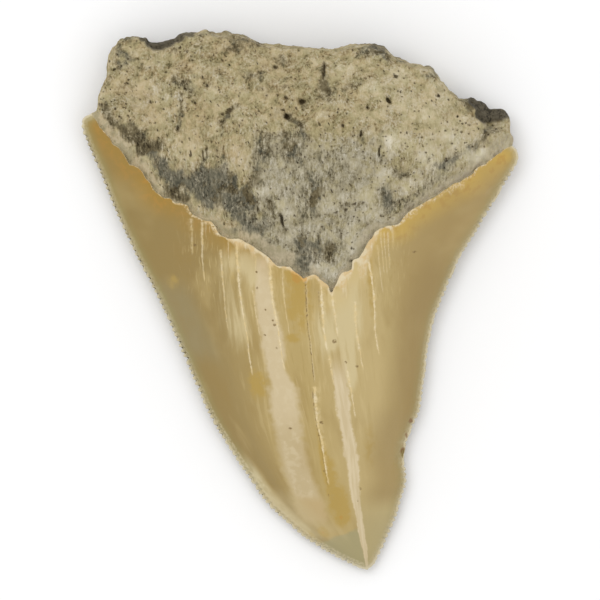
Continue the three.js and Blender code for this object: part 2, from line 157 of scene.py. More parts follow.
# Pits and slots in the root: middle, half width, half length, turn in degrees and depth
PITS = [
    ((0.3, 26.3), (0.62, 0.5), 0, 1), ((-1.8, 24.4), (0.36, 0.5), 10, 0.9),
    ((-2.3, 25.2), (0.25, 0.25), 0, 0.4), ((11.7, 26.5), (0.3, 0.52), 35, 0.9),
    ((9, 25.5), (0.25, 0.22), 0, 0.5), ((-14.3, 31.9), (0.22, 0.2), 0, 0.45),
    ((-13, 29.6), (0.2, 0.2), 0, 0.6), ((-15.9, 33.5), (0.2, 0.18), 0, 0.4),
    ((-13.9, 26.1), (0.22, 0.22), 0, 0.5), ((-12.3, 28.4), (0.24, 0.28), 20, 0.4),
    ((-15.3, 28.1), (0.2, 0.2), 0, 0.4), ((-3.3, 30.9), (0.3, 0.26), 0, 0.5),
    ((-2.9, 27.1), (0.22, 0.22), 0, 0.4), ((-1.8, 26.8), (0.34, 0.3), 0, 0.4),
    ((-24.7, 30.7), (0.14, 0.28), -30, 0.3), ((-22.9, 28.8), (0.26, 0.15), -20, 0.25),
    ((-19.9, 28.1), (0.17, 0.17), 0, 0.35), ((-19.9, 26.3), (0.2, 0.35), 0, 0.4),
    ((-16.2, 22.8), (0.2, 0.42), 0, 0.4), ((-10.3, 24.7), (0.24, 0.24), 0, 0.4),
    ((18.3, 27.2), (0.24, 0.28), 0, 0.45), ((12.7, 29.7), (0.4, 0.22), -15, 0.35),
    ((5.7, 23.1), (0.3, 0.3), 0, 0.45), ((2.5, 23.5), (0.16, 0.26), 0, 0.35),
    ((6.1, 12), (0.2, 0.36), -25, 0.25), ((7.2, 12.8), (0.4, 0.2), 10, 0.2),
    ((8.4, 12.9), (0.3, 0.16), 0, 0.2), ((-2.4, 10.6), (0.24, 1.2), 12, 0.9),
    ((8.1, 22), (0.2, 0.6), 0, 0.6), ((10.5, 19.6), (0.14, 0.8), 0, 0.4),
    ((-12.9, 18.9), (0.13, 1.3), -4, 0.35), ((-14.5, 19.3), (0.12, 0.7), -5, 0.3),
    ((3.15, 30.4), (0.2, 1.4), -6, 0.5), ((-9.4, 25.1), (0.3, 0.8), -55, 0.22),
    ((20.9, 24.4), (0.2, 0.24), 0, 0.35), ((13.4, 27.6), (0.2, 0.24), 0, 0.3),
    ((4.4, 0.9), (0.14, 0.7), 15, 0.4), ((13.2, 13), (0.14, 0.5), 10, 0.2),
    ((-9.3, 9.3), (0.14, 0.14), 0, 0.3), ((17.2, 18.7), (0.1, 0.5), 10, 0.25),
    ((19.4, 18.6), (0.12, 0.4), -10, 0.25), ((-5.6, 12), (0.2, 0.5), 0, 0.3),
    ((6.6, 5.2), (0.5, 0.1), 8, 0.3),
]
# Chips that bevel the right cutting edge: middle, reach and depth
EDGE_CHIPS = [
    ((15.6, -18.2), 1.5, 0.5), ((14.6, -20.6), 1.9, 0.7), ((26.3, 13.9), 1.3, 0.5), ((20.2, 3.8), 0.8, 0.4),
]
WORN_PLACE = (17.3, -6.5)  # of the right cutting edge
WORN_REACH = 9

# Stained belts of the root: reach, strength and line
DARK_BELTS = [
    (0.6, 0.95, [(-26.1, 25.5), (-25.6, 24.9), (-24.9, 23.7), (-23.8, 22.7), (-22.6, 21.6)]),
    (0.65, 0.95, [(-22.3, 23.3), (-21.3, 21.7), (-20.7, 20.3)]),
    (0.7, 0.9, [(-21.1, 19.9), (-19.9, 20.1), (-18.5, 20.5)]),
    (0.7, 1.0, [(-17.5, 14.5), (-16.5, 14), (-15.1, 13.6)]),
    (0.3, 0.45, [(-12.3, 20.3), (-12.7, 18.7), (-13.1, 16.5)]), (0.7, 1.3, [(-7.1, 14.2), (-6.7, 13.3)]),
    (0.5, 0.8, [(-9.1, 16.5), (-8.9, 14.7)]), (0.5, 0.9, [(-4.0, 13.1), (-3.9, 12.1)]),
    (0.6, 1.1, [(4, 7), (3.9, 5.6)]), (0.8, 0.42, [(-4.8, 22), (-4.2, 21.1), (-4.7, 19.2)]),
    (0.9, 0.7, [(-1.7, 22), (-1.1, 20), (-1.3, 19.3)]),
    (0.5, 0.75, [(-1.6, 24.5), (-1.3, 24.1), (0.1, 23.5), (0.7, 21.6)]),
    (0.7, 0.7, [(-16.5, 29.3), (-15.3, 28.8), (-14.5, 28)]),
    (0.36, 0.75, [(-15.8, 27.4), (-15.9, 25.1), (-16.1, 22.9)]),
    (0.4, 0.7, [(-8.4, 25.9), (-9.5, 24.7), (-10.3, 23.9)]), (0.3, 0.4, [(-10.3, 23.5), (-10.5, 21.6)]),
    (0.4, 0.65, [(3.1, 31.6), (3, 29.6), (3.1, 28), (4.2, 27.3)]), (0.4, 0.4, [(6.1, 28), (7.7, 28.9)]),
    (0.5, 0.8, [(9, 32.8), (10.7, 32.7), (11.8, 32.1)]), (0.7, 0.7, [(2.2, 14.7), (1.9, 13.2)]),
    (0.4, 0.4, [(0.9, 17.1), (1.3, 15.5)]), (0.4, 0.5, [(1.8, 12.8), (1.8, 10.9)]),
    (0.5, 0.3, [(0.5, 11.5), (0.3, 9.3)]), (0.5, 0.85, [(12.6, 16.8), (14.2, 16.5)]),
    (0.3, 0.35, [(10.9, 22.9), (10.7, 18)]), (0.4, 0.5, [(4.9, 9.1), (5.8, 8)]),
    (0.3, 0.7, [(5.9, 12.1), (6.7, 12.8), (7.8, 12.7), (8.5, 12.9)]),
    (0.5, 0.4, [(22.5, 20.3), (23.5, 21.1), (24.6, 21.6)]), (0.5, 0.4, [(25.1, 22.9), (24.9, 21.7)]),
    (0.3, 0.4, [(17.4, 19.1), (17.1, 17.9)]), (0.3, 0.5, [(19.7, 18.7), (19, 17.6)]),
    (0.5, 0.25, [(5.4, 16.3), (5.7, 14.7)]), (0.4, 0.35, [(7.5, 17.1), (7.3, 15.7)]),
    (0.5, 0.4, [(-5.8, 17.1), (-5, 15.2)]),
]
GREY_BELTS = [
    (0.7, 0.5, [(-19.3, 19.2), (-19, 17.9), (-18.6, 16.7)]),
    (0.75, 0.85, [(-18.1, 18.4), (-17.8, 17.2), (-16.5, 16.3)]),
    (0.9, 0.8, [(-16.6, 15.7), (-15.4, 15.7), (-13.8, 14.9), (-12.6, 13.6)]),
    (1, 0.95, [(-13.5, 16.5), (-11.9, 16.4), (-10.3, 16.9), (-9.5, 15.9)]),
    (1, 0.95, [(-11.7, 14.9), (-9.9, 14.1), (-8.2, 13.5), (-6.7, 12.8)]),
    (0.9, 1.0, [(-9.5, 12.5), (-8.3, 11.3), (-6.8, 10.1), (-4.9, 9.5)]),
    (0.9, 0.8, [(-0.3, 7.8), (0.5, 6.9), (-0.1, 5.1), (0.5, 4)]),
    (0.8, 0.9, [(1.7, 7.4), (1.9, 6), (1.5, 4.8)]), (0.8, 0.85, [(11.3, 14.4), (11.7, 13.3), (12.1, 12.5)]),
    (0.7, 0.42, [(14, 12.9), (15.5, 13.9), (17.2, 15), (18.9, 16)]),
    (0.9, 0.25, [(16.6, 15.9), (18.5, 17.1), (19.9, 18)]),
    (0.6, 0.65, [(18.5, 17.7), (19.3, 18.1), (20.3, 18.6), (21.7, 19.6), (23.4, 20.3)]),
    (0.7, 0.25, [(-10.3, 20), (-10.1, 18.3), (-9.8, 16.7)]), (0.5, 0.2, [(-12.5, 19.7), (-12.9, 17.9)]),
    (0.7, 0.45, [(-5.7, 21.1), (-5.4, 18.7), (-5.9, 17.4)]),
    (0.9, 0.25, [(-3.3, 21.3), (-1.9, 19.2), (-0.3, 17.6)]),
    (0.7, 0.4, [(0.1, 22.4), (0.2, 20), (-0.3, 18.7)]), (0.5, 0.4, [(5.5, 20), (5.9, 18)]),
    (0.8, 0.15, [(3.3, 25.9), (2.9, 24), (3.5, 22.7)]), (0.7, 0.45, [(1.7, 16.7), (2.2, 14.7), (1.7, 12)]),
    (0.5, 0.3, [(0.1, 16), (0.5, 12.7)]), (0.5, 0.5, [(8.1, 33.3), (9.7, 33.6), (11.4, 32.5)]),
    (0.5, 0.5, [(17.4, 31.2), (18.2, 30.1), (17.1, 29.6)]), (0.3, 0.4, [(13.1, 32), (15.4, 31.3)]),
    (0.8, 0.55, [(-24.2, 33.1), (-22.9, 32), (-23.7, 31.2)]), (0.5, 0.3, [(-15.9, 34.7), (-14.6, 35.2)]),
    (0.7, 0.2, [(6.1, 16.3), (5.1, 14.7)]), (0.6, 0.15, [(4.1, 4.3), (3.5, 3.6)]),
    (0.5, 0.25, [(5.4, 7.2), (7, 5.1)]), (0.7, 0.35, [(-7, 30.1), (-5, 29.6)]),
    (0.7, 0.45, [(26.1, 22.7), (24.6, 22.1)]),
]
# Stained places of the root: middle, half width and height, turn in degrees and strength
DARK_PLACES = [
    ((-1.5, 24.2), (0.6, 0.5), 0, 0.35), ((-6.6, 29.7), (0.8, 0.4), 0, 0.4),
    ((-23, 28.7), (0.4, 0.3), -30, 0.35), ((3.1, 27.7), (0.7, 0.7), 0, 0.6),
    ((0.6, 25.9), (0.6, 0.5), 0, 0.6), ((-21, 31.2), (0.5, 0.4), 0, 0.35),
    ((-3.5, 30.9), (0.5, 0.3), 0, 0.5), ((-2.2, 32), (0.4, 0.4), 0, 0.5),
    ((-8.2, 33.9), (1.9, 0.8), 10, 0.75), ((-4.8, 28), (0.7, 0.6), 0, 0.6),
    ((-13.3, 33.6), (0.4, 0.7), 0, 0.4), ((-15, 33.1), (0.4, 0.4), 0, 0.5),
    ((-10.3, 29.6), (0.4, 0.4), 0, 0.4), ((-14.3, 31.9), (0.4, 0.4), 0, 0.4),
    ((-12.2, 28.4), (0.5, 0.4), 0, 0.4), ((-20.2, 34.4), (0.5, 0.5), 40, 0.7),
    ((7.8, 32.4), (0.7, 0.3), 0, 0.35), ((14.7, 30.1), (0.4, 0.4), 0, 0.35),
    ((8.9, 25.6), (0.4, 0.4), 0, 0.4), ((4.1, 17.3), (0.5, 0.8), 0, 0.35),
    ((6.1, 11.3), (0.4, 0.4), 0, 0.35), ((7.8, 10.4), (0.4, 0.7), 0, 0.4),
    ((9.7, 21.6), (0.3, 0.8), 0, 0.45), ((16.2, 18.3), (0.7, 0.3), 0, 0.4),
    ((2.5, 18.7), (0.4, 0.8), 0, 0.4), ((0.1, 7.3), (0.5, 0.8), 0, 0.4), ((3, 5.9), (0.5, 0.8), 0, 0.6),
    ((-11.4, 13.9), (0.8, 0.7), 0, 0.5), ((-10.3, 15.2), (0.7, 0.7), 0, 0.5),
    ((7.9, 21.7), (0.6, 0.8), 0, 0.5), ((-2.6, 32), (1.1, 0.8), 0, 0.6),
    ((-1.9, 28.7), (0.9, 0.8), 0, 0.35), ((3.4, 28.7), (0.7, 0.9), 0, 0.4),
    ((5.4, 28), (0.8, 0.6), 0, 0.35), ((-7, 13.7), (0.8, 0.8), 0, 0.8), ((-1.3, 20.7), (1, 0.9), 0, 0.35),
    ((-16.6, 14), (0.7, 0.6), 0, 0.5), ((-23, 34.9), (1.6, 0.5), 10, 0.5),
    ((-16.9, 33.3), (0.7, 0.5), 40, 0.6), ((-13.2, 35.3), (1.3, 0.4), 10, 0.5),
    ((22.5, 26), (0.8, 0.5), -45, 1.3), ((-6.2, 15.2), (0.6, 0.6), 0, 0.6),
    ((-3.6, 21.9), (0.6, 0.6), 0, 0.4), ((-23.8, 24), (0.5, 0.5), 0, 0.5),
    ((-21, 19.3), (0.6, 0.5), 0, 0.5), ((-3.2, 24.8), (0.5, 0.5), 0, 0.4),
    ((3.6, 26.7), (0.5, 0.5), 0, 0.5), ((-13.9, 29.8), (0.5, 0.4), 0, 0.5),
    ((-5.8, 34.1), (0.9, 0.5), 0, 0.5),
]
GREY_PLACES = [
    ((0.1, 12.3), (0.5, 0.7), 0, 0.35), ((-8.2, 9.1), (0.8, 0.4), -20, 0.35),
    ((-11.1, 12.3), (0.7, 0.7), 0, 0.4), ((-1.9, 14), (0.9, 0.9), 0, 0.4),
    ((11.5, 12.7), (0.8, 1.2), 0, 0.35), ((-11.3, 13.3), (0.9, 0.8), 0, 0.5),
    ((-7.4, 9.6), (0.8, 0.5), -25, 0.5), ((-4.3, 10.3), (0.8, 0.5), -20, 0.6),
    ((-15.7, 17.1), (0.7, 0.6), 0, 0.6), ((-12.1, 12.4), (0.7, 0.5), -30, 0.5),
    ((2.9, 9.5), (0.5, 0.6), 0, 0.45), ((-22.1, 33.1), (0.7, 0.5), 0, 0.45),
]
PALE_PLACES = [
    ((-14.6, 20.3), (1.2, 2), 0, 0.5), ((-7.8, 18.9), (1.1, 1.9), 0, 0.5),
    ((-17.8, 27.7), (1.6, 1.2), 0, 0.35), ((-19.8, 28.3), (1.1, 0.8), 0, 0.4),
    ((-21.9, 28.3), (0.9, 1.1), 0, 0.5), ((-11.3, 30.7), (1.6, 1.1), 0, 0.35),
    ((-8.5, 25.1), (1.1, 1.1), 0, 0.45), ((1.7, 31.7), (1.1, 1.1), 0, 0.5),
    ((5.7, 31.2), (1.3, 0.4), 0, 0.8), ((6.1, 30.4), (1.6, 0.7), 0, 0.4), ((9.6, 28.2), (1.4, 1.1), 0, 1),
    ((11.9, 21), (1.3, 1.6), 0, 1.2), ((16.1, 25.6), (3.3, 2.1), -20, 0.75),
    ((20.5, 21.7), (2.1, 1.9), 0, 1), ((23.4, 22.3), (0.8, 1.3), 0, 0.4),
    ((17.4, 18.9), (1.1, 1.2), 0, 1.2), ((16.3, 18.9), (0.5, 0.8), 0, 0.4),
    ((23.3, 19.1), (1.2, 0.7), 30, 0.6), ((24.6, 19.7), (1.3, 0.5), 35, 0.5),
    ((-3.9, 14.7), (1.5, 1.1), 0, 0.55), ((-1.8, 12), (0.8, 1.4), 0, 0.75),
    ((-1.5, 15.7), (1.1, 0.8), 0, 0.4), ((4.1, 12.7), (1.2, 1.3), 0, 0.6), ((8.9, 14), (1.2, 1.9), 0, 0.6),
    ((9.7, 11.3), (0.9, 1.1), 0, 0.5), ((6.7, 8.3), (1.3, 1.1), 0, 0.35), ((7, 6.4), (1.1, 1.3), 0, 0.6),
    ((2.5, 4.3), (1.2, 0.8), 0, 0.7), ((4.6, 3.7), (0.9, 0.8), 0, 0.7), ((-1.3, 8.5), (0.8, 1.3), 0, 0.9),
    ((2.5, 9.6), (0.9, 0.9), 0, 0.5), ((5.4, 5.1), (0.8, 0.8), 0, 0.5), ((14.7, 19.7), (1.3, 1.1), 0, 0.35),
    ((-24.7, 31.5), (0.5, 0.7), 0, 0.6), ((13.7, 11.6), (0.5, 0.5), 0, 0.4),
    ((18.5, 16.5), (0.8, 0.5), 30, 0.5), ((16.9, 15.5), (0.8, 0.5), 30, 0.4),
    ((-19.5, 31.7), (1.3, 0.9), 0, 0.5), ((-11.9, 27.3), (1, 0.9), 0, 0.45), ((13.4, 30), (1.3, 1), 0, 0.9),
    ((17.4, 30), (0.9, 0.7), 0, 0.5), ((-11.3, 19.3), (0.8, 0.9), 0, 0.5),
    ((20.1, 18), (0.9, 0.7), 30, 0.6), ((22.7, 19.9), (0.9, 0.7), 30, 0.6), ((2.7, 3.8), (1, 0.8), 0, 0.8),
    ((11.4, 16.7), (1.2, 0.9), 0, 0.8), ((6.7, 10), (1, 0.9), 0, 0.8), ((6.1, 6.7), (0.9, 0.9), 0, 0.5),
    ((4.4, 3.4), (0.7, 0.6), 0, 0.6), ((-1.9, 11.3), (0.9, 1), 0, 0.6), ((12.7, 10.9), (0.9, 0.6), 40, 0.8),
    ((-17.6, 12.9), (1.4, 0.7), -40, 0.5), ((-23.3, 20.5), (1.4, 0.6), -45, 0.6),
    ((24, 19.1), (1.2, 0.6), 30, 0.8), ((-11.3, 10.3), (0.9, 0.5), -30, 0.4),
    ((15.4, 15.6), (1.1, 0.8), 30, 0.8), ((4.1, 8.7), (0.9, 0.6), 0, 0.7),
    ((18.9, 28), (1.3, 0.9), -40, 0.8), ((-2.7, 18.1), (0.9, 0.9), 0, 0.6),
    ((-5, 13.9), (0.5, 0.8), 0, 0.6), ((13.8, 14.5), (0.8, 0.9), 0, 0.6),
    ((-5.9, 23.4), (0.9, 0.9), 0, 0.5), ((5.9, 13.5), (0.9, 0.5), 0, 0.6),
    ((26.6, 23.2), (1.5, 0.5), 0, 0.6), ((-16.5, 19.2), (0.8, 0.8), 0, 0.6),
    ((14.2, 20.9), (1, 0.9), 0, 0.6), ((4.1, 3), (0.6, 0.6), 0, 0.6), ((13.2, 26.9), (0.8, 0.8), 0, 0.7),
    ((-22.2, 26.6), (1.2, 0.9), 0, 0.7), ((-20.1, 23), (0.8, 0.7), 0, 0.5),
    ((-18.4, 15), (0.7, 0.7), 0, 0.6), ((1.3, 9.1), (0.7, 0.7), 0, 0.6), ((17.1, 21.7), (1, 0.9), 0, 0.6),
    ((19.3, 25.9), (1, 0.8), 0, 0.5), ((10.2, 15), (0.8, 0.8), 0, 0.6), ((22.2, 24.3), (0.6, 0.6), 0, 0.5),
    ((-24, 20.2), (0.9, 0.6), -45, 0.6), ((0.9, 13), (0.6, 0.7), 0, 0.5), ((8, 11.5), (0.8, 0.7), 0, 0.5),
    ((-26.4, 26.8), (0.5, 0.7), 0, 0.6), ((-13, 19.3), (0.5, 0.8), 0, 0.5),
    ((-9.7, 17.6), (0.6, 1), 0, 0.6), ((17.7, 17.5), (0.7, 0.6), 0, 0.7),
    ((-11.3, 22.4), (0.8, 1.1), 0, 0.5), ((9, 18.7), (0.8, 0.8), 0, 0.5), ((3.4, 15.1), (0.7, 0.8), 0, 0.5),
    ((-7.6, 27.9), (0.9, 0.7), 60, 0.5), ((13.3, 25.2), (0.8, 0.8), 0, 0.4),
    ((2.6, 24.5), (0.9, 0.2), 30, 0.9),
]
WARM_PLACES = [
    ((-21.5, 27.7), (1.9, 1.6), 0, 0.8), ((-15.1, 31.2), (1.2, 0.8), 0, 0.7),
    ((-8.2, 19.2), (1.2, 2.1), 0, 0.8), ((-19.9, 24.3), (1.3, 1.3), 0, 0.5),
    ((-8.2, 33.9), (2.7, 1.1), 8, 0.6), ((-3.9, 31.2), (1.9, 1.6), 0, 0.5),
    ((-14.6, 21.3), (1.6, 1.9), 0, 0.4), ((-3.7, 28), (1.6, 0.8), 0, 0.4),
    ((17.4, 26.7), (1.6, 1.1), 0, 0.3), ((22.7, 22.7), (1.2, 1.6), 0, 0.35),
    ((-13.3, 24), (1.9, 1.3), 0, 0.3),
]
# The smooth pale strip of the root that hugs the enamel: share of the way across and width
STRIP_WIDTHS = [
    (0, 1.0), (0.05, 1.5), (0.1, 1.8), (0.16, 1.3), (0.2, 0.8), (0.24, 0.3), (0.3, 1.2), (0.37, 1.9),
    (0.46, 2.8), (0.5, 2.2), (0.54, 0.5), (0.6, 0.4), (0.67, 1.4), (0.72, 0.9), (0.8, 1.4), (0.9, 2.0),
    (1, 1.6),
]

# The lines that the enamel grew along, as X at each of these Y. Its streaks follow them.
GROWTH_LEVELS = (12, 6, 1, -4, -9, -15, -20, -25, -31, -36)
GROWTH_LINES = [
    (-14.3, -14.3, -13.9, -13.3, -11.8, -9.7, -7.1, -4.2, 0.7, 9),
    (-10.6, -10.5, -10.1, -9.6, -9, -7.4, -5.4, -2.6, 1.9, 9),
    (-8.7, -8.5, -8.1, -7.3, -6.6, -5.4, -3.8, -1.4, 2.7, 9),
    (-5.7, -6, -6.2, -5.5, -4.7, -4, -3.3, -2, 3, 9),
    (-3.9, -4, -3.8, -2.9, -2.1, -0.1, 1.1, 2.1, 5, 9),
    (0.9, 0.9, 0.8, 1.1, 1.7, 2.1, 3, 3.9, 6.1, 9),
    (2.2, 2.5, 2.9, 3.2, 4, 5.1, 6.1, 6.6, 7.6, 9),
    (3.8, 4.2, 4.7, 5.5, 6.2, 7.3, 7.9, 8.2, 8.7, 9.05),
    (7, 7, 7.1, 7.3, 8.2, 9, 9.7, 10.1, 9.9, 9.1),
    (8.3, 8.9, 9.7, 9.9, 10.7, 11.4, 11.9, 11.9, 11.1, 9.2),
    (11.4, 11.8, 12.2, 12.6, 13.1, 13.4, 13.3, 13.1, 12.1, 9.3),
]
# A growth line's number is its X at this Y. The first one's number, the span of all, and the enamel's lowest
# Y and height
NUMBER_Y = -4
FIRST_NUMBER = -17.1
NUMBER_SPAN = 34.7
LOWEST_Y = -36
Y_SPAN = 49
# Streaks of the enamel: growth line, half width, top and bottom Y, and strength
CREAM_STREAKS = [
    (-13.3, 0.1, 10.9, 6, 0.5), (-12, 0.12, 10.4, 2.4, 0.75), (-11.5, 0.07, 10.4, 8, 0.35),
    (-11, 0.07, 10.4, 8.7, 0.35), (-9.6, 0.12, 6.7, -4, 0.7), (-8.4, 0.08, 8, 4, 0.5),
    (-7.2, 0.14, 7.7, -10, 0.95), (-5.3, 0.08, 6, 3.3, 0.5), (-5.5, 0.1, 1.3, -4.7, 0.6),
    (-2.9, 0.17, 5.6, -9.3, 0.95), (-1.5, 0.08, 4.3, -4.7, 0.5), (1.2, 0.12, 2, -10.9, 0.45),
    (1.1, 0.2, -11.5, -24.6, 0.95), (3.2, 0.22, 2.4, -6.8, 0.95), (4.9, 0.2, 1.2, -4.9, 0.8),
    (7.5, 0.2, -0.2, -5.6, 0.85), (7.5, 0.12, -4.7, -9.3, 0.85), (3.3, 0.13, -7.4, -11.3, 0.8),
    (5.5, 0.13, -9.3, -15.7, 0.85), (10, 0.15, 5.1, -7.3, 1), (11.3, 0.08, 7.3, 0.7, 0.5),
    (11.8, 0.08, 9.1, 3.3, 0.55), (12.2, 0.07, 9.1, 3.3, 0.55), (12.6, 0.07, 9.1, 4, 0.5),
    (12.9, 0.07, 9.6, 7.3, 0.45), (6.6, 0.11, 5.1, 0, 0.4),
]
BROWN_STREAKS = [
    (1.1, 0.09, 3, -11, 1), (0.8, 0.08, -12, -25, 0.9), (7, 0.07, 4, 3.2, 0.4), (2.8, 0.08, 1.3, -3.5, 0.5),
]
# Brown specks: Y, growth line and reach
SPECKS = [
    (7.3, -13, 0.2), (6.4, 14.3, 0.16), (3.7, -5.1, 0.2), (1.6, -4.9, 0.17), (-1.3, -4.1, 0.14),
    (-2.7, -3.4, 0.15), (-3.3, -3.3, 0.2), (-4.7, -4.8, 0.17), (-5.5, 4.4, 0.3), (-6.4, -3.5, 0.18),
    (-8.3, 5.5, 0.2), (-8.8, 6.8, 0.18), (-16.3, 1.5, 0.2), (-17.1, -4, 0.16), (-18, 0.8, 0.17),
    (-22.8, 0.5, 0.15), (-25.1, 5.3, 0.17), (-26, 0.2, 0.17), (-26.7, 4.5, 0.15),
]
# The two broad pale bands, as Y and the X of their left and right borders
FIRST_BAND = [
    (-31, 1.2, 3.2), (-29.3, 0.3, 3.4), (-28, -0.5, 3.4), (-26.7, -0.8, 3), (-25.3, -1.2, 2.2),
    (-24, -1.7, 1.8), (-22.7, -2.1, 1.3), (-20, -2.7, 0.7), (-17.3, -3.2, 0.1), (-16, -3.7, 0),
    (-12, -3.9, -0.5), (-10.7, -3.9, -1.2), (-9.3, -4.4, -2), (-6, -5, -2.1), (-2.9, -5.5, -2.8),
    (0, -5.9, -3.6), (2.8, -5.8, -4), (6, -5.7, -4.3),
]
SECOND_BAND = [
    (-36, 8.9, 9.1), (-33.3, 8.3, 9), (-32, 8, 8.8), (-30.7, 7.7, 8.6), (-28, 7.3, 8.2), (-25.3, 6.6, 7.9),
    (-24, 6.5, 7.9), (-22.7, 6.4, 7.9), (-21.3, 6.1, 7.8), (-18.7, 5.6, 7.4), (-16, 5.2, 6.8),
    (-13.3, 4.7, 6.6), (-12, 4.6, 6.4), (-9.3, 4.3, 6.1), (-3, 4.4, 6.3), (1, 4.6, 6.4),
]
# Stained places of the enamel: middle, half width and height, turn in degrees and strength
GOLD_PLACES = [
    ((-0.2, -0.7), (2, 3.9), 8, 0.55), ((-0.7, 3.1), (1.3, 0.7), -35, 0.9),
    ((-1, -5.1), (0.8, 0.5), 0, 0.6), ((-5.5, -11.3), (1.3, 2.1), 12, 0.6),
    ((3, -20.5), (0.45, 4.5), 10, 0.55), ((-16.9, 2.4), (0.9, 1.3), 20, 0.45),
    ((5.4, -27.5), (1.4, 2.7), 5, 0.6), ((5.7, -28.9), (0.55, 0.7), 0, 0.5),
    ((3.1, -30.9), (0.75, 0.5), -35, 0.9), ((1.3, -31.2), (0.7, 0.4), -40, 0.7),
    ((0.5, 2.8), (0.4, 0.3), 0, 0.9), ((9.3, -19.5), (1.2, 4), 0, 0.3), ((13, -22.4), (1.2, 2), 0, 0.3),
    ((4, -22.5), (0.9, 3), 10, 0.4), ((9.4, 2.1), (0.5, 5.5), 4, 0.45), ((-9, 4.7), (0.4, 3.2), 0, 0.45),
]
CREAM_PLACES = [
    ((-9, 1.5), (3, 6.5), 12, 0.22), ((-6.2, 4.4), (1, 2.4), 0, 0.7), ((2.9, -4.5), (1.2, 4.5), 0, 0.42),
    ((7.2, 3.6), (0.9, 1.6), 0, 0.7), ((-4.8, 6), (0.8, 1.2), 0, 0.6), ((6.3, -2.5), (1.9, 5), 0, 0.75),
    ((-8.4, -4), (2.2, 4), 15, 0.28), ((-8.5, 5.3), (1.8, 1.6), 0, 0.3),
    ((13.5, -18.9), (0.5, 0.22), 0, 0.9), ((4.2, -5.6), (0.6, 0.9), 0, 0.5),
    ((6.8, -10), (0.9, 2.5), 0, 0.5), ((4.3, 0.3), (0.7, 0.9), 0, 0.6),
]
CHIP_PLACES = [
    ((14.8, -16.1), (0.35, 0.4), 0, 0.8), ((13.75, -20.1), (0.4, 0.55), 0, 0.8),
    ((14.2, -18), (0.2, 0.8), 20, 0.7), ((14.1, -23), (0.15, 1.2), 0, 0.5),
]
# Past this line the tip is greyer and clearer
TIP_LINE = ((3.8, -31.7), (7.3, -30.4))
# How wide the cream lip under the root is, in millimetres, at each X
LIP_WIDTHS = [
    (-27.8, 0.04), (-18.5, 0.05), (-16.5, 0.15), (-14.3, 0.28), (-12, 0.3), (-10.8, 0.35), (-9.9, 0.2),
    (-8.6, 0.45), (-7.3, 0.75), (-6.3, 0.9), (-4.5, 0.6), (-3.2, 0.25), (-2.2, 0.4), (-0.5, 0.15),
    (0.2, 0.35), (1.9, 0.5), (3.1, 0.55), (3.9, 0.35), (4.6, 0.25), (5.5, 0.55), (6.7, 1.1), (7.5, 1.7),
    (8.6, 1.5), (9.3, 0.6), (10.3, 0.5), (11, 0.3), (13.4, 0.3), (15, 0.6), (17.3, 0.4), (19, 0.6),
    (21.4, 0.5), (24, 0.12), (28.3, 0.05),
]

# The nicks of a border: how many to a millimetre, their size where it is steep, and the millimetres over
# which they fade at its ends. Softened, a border is the mean of so many places within a share of its length.
NICK_RATE = 1.2
STEEP_NICKS = 0.35
NICK_FADE = 2
SOFT_SHARE = 0.03
SOFT_COUNT = 9
# How the neck's dip fades down the crown, and the shares of an edge over which its turns and nicks do
DIP_POWER = 1.5
TURN_SHARE = 0.06
NICK_SHARE = 0.016

# The serrations: how broad their notches are, their sway from an even pitch, the nicks between them, and how
# far inside the edge they fade
NOTCH_POWER = 1.2
PITCH_SWAY = 0.22
EDGE_NICKS = 0.05
EDGE_NICK_RISE = -0.02
NOTCH_FADE = 1.3
NOTCH_REACH = 0.35
INNER_NOTCH_DROP = -0.14
OUTER_NOTCH_RISE = 0.05

# Fine relief of the enamel, as heights in millimetres
RIDGES = 0.03
FINE_RIDGES = 0.012
SWELL = (0.05, 7)  # height and how broad it is
OUTER_RIDGES = 0.04
BORDER_DROP = 0.07  # of the enamel's border towards the root
BORDER_WIDTH = 0.15
RIDGE_START = (0.4, 3)  # distances from the cutting edge between which the ridges set in

# Relief of the root, as heights in millimetres, or as a height and how broad it is
LUMP_HEIGHT = 0.22
BREAK_ROUGHNESS = 0.22
ROOT_SWELLS = (0.15, 4.2)
ROOT_GRIT = (0.09, 0.85)
ROOT_FIBRES = 0.07
FIBRE_START = (24, 14)  # Y between which the fibres set in, going down
STRIP_CALM = 0.6  # how much less rough the pale strip is
BROKEN_RELIEF = (0.3, 1.6)
SIDE_RELIEF = 0.24
UNDER_RELIEF = (0.16, 1.8)
UNDER_HOLLOW = 0.5
# How the pale strip's width sways, and the shares of its width between which it ends
STRIP_SWAY = (0.35, 2.2)
STRIP_END = (0.4, 1.4)
# The root's pits: noise of their outlines, how far their dark reaches, how sharply it ends, and how flat
# their floors are
PIT_BLUR = (0.09, 0.35)
PIT_REACH = 1.15
PIT_FADE = 1.6
PIT_FLOOR = 1.3
# The root's pores: spacing, least radius and what is added to it, the share of cells without one, and depth
PORE_SPACING = 0.8
PORE_RADIUS = 0.05
PORE_GROWTH = 0.26
PORELESS = 0.6
PORE_DEPTH = 0.22
# Stains: how steep their bells are, and the noise that moves their borders
STAIN_BELL = 0.9
STAIN_SWAY = (0.3, 0.9)
FAR = 20  # stands in for a distance in millimetres that the materials needn't know
UNSET = 99.0  # more than any distance that is looked for

# The UV square in millimetres: its side, and where the inner face, the outer face and the root's side lie
UV_SIDE = 122
UV_INNER_X = 30
UV_OUTER_X = 91
UV_FACE_Y = 37
UV_STRIP = ((1, 76), (118, 14))

STUDIO_LIGHT = 1.08  # how bright a white paper on the floor would show
ENAMEL_SHEEN = 0.028  # share of white light that the enamel's gloss adds
ENAMEL_RELIEF = 0.03  # height in millimetres of the relief in the materials
ROOT_RELIEF = 0.2
ROOT_GLOSS = 0.25
FLOOR_HALF = 0.6  # half the floor's side, in metres
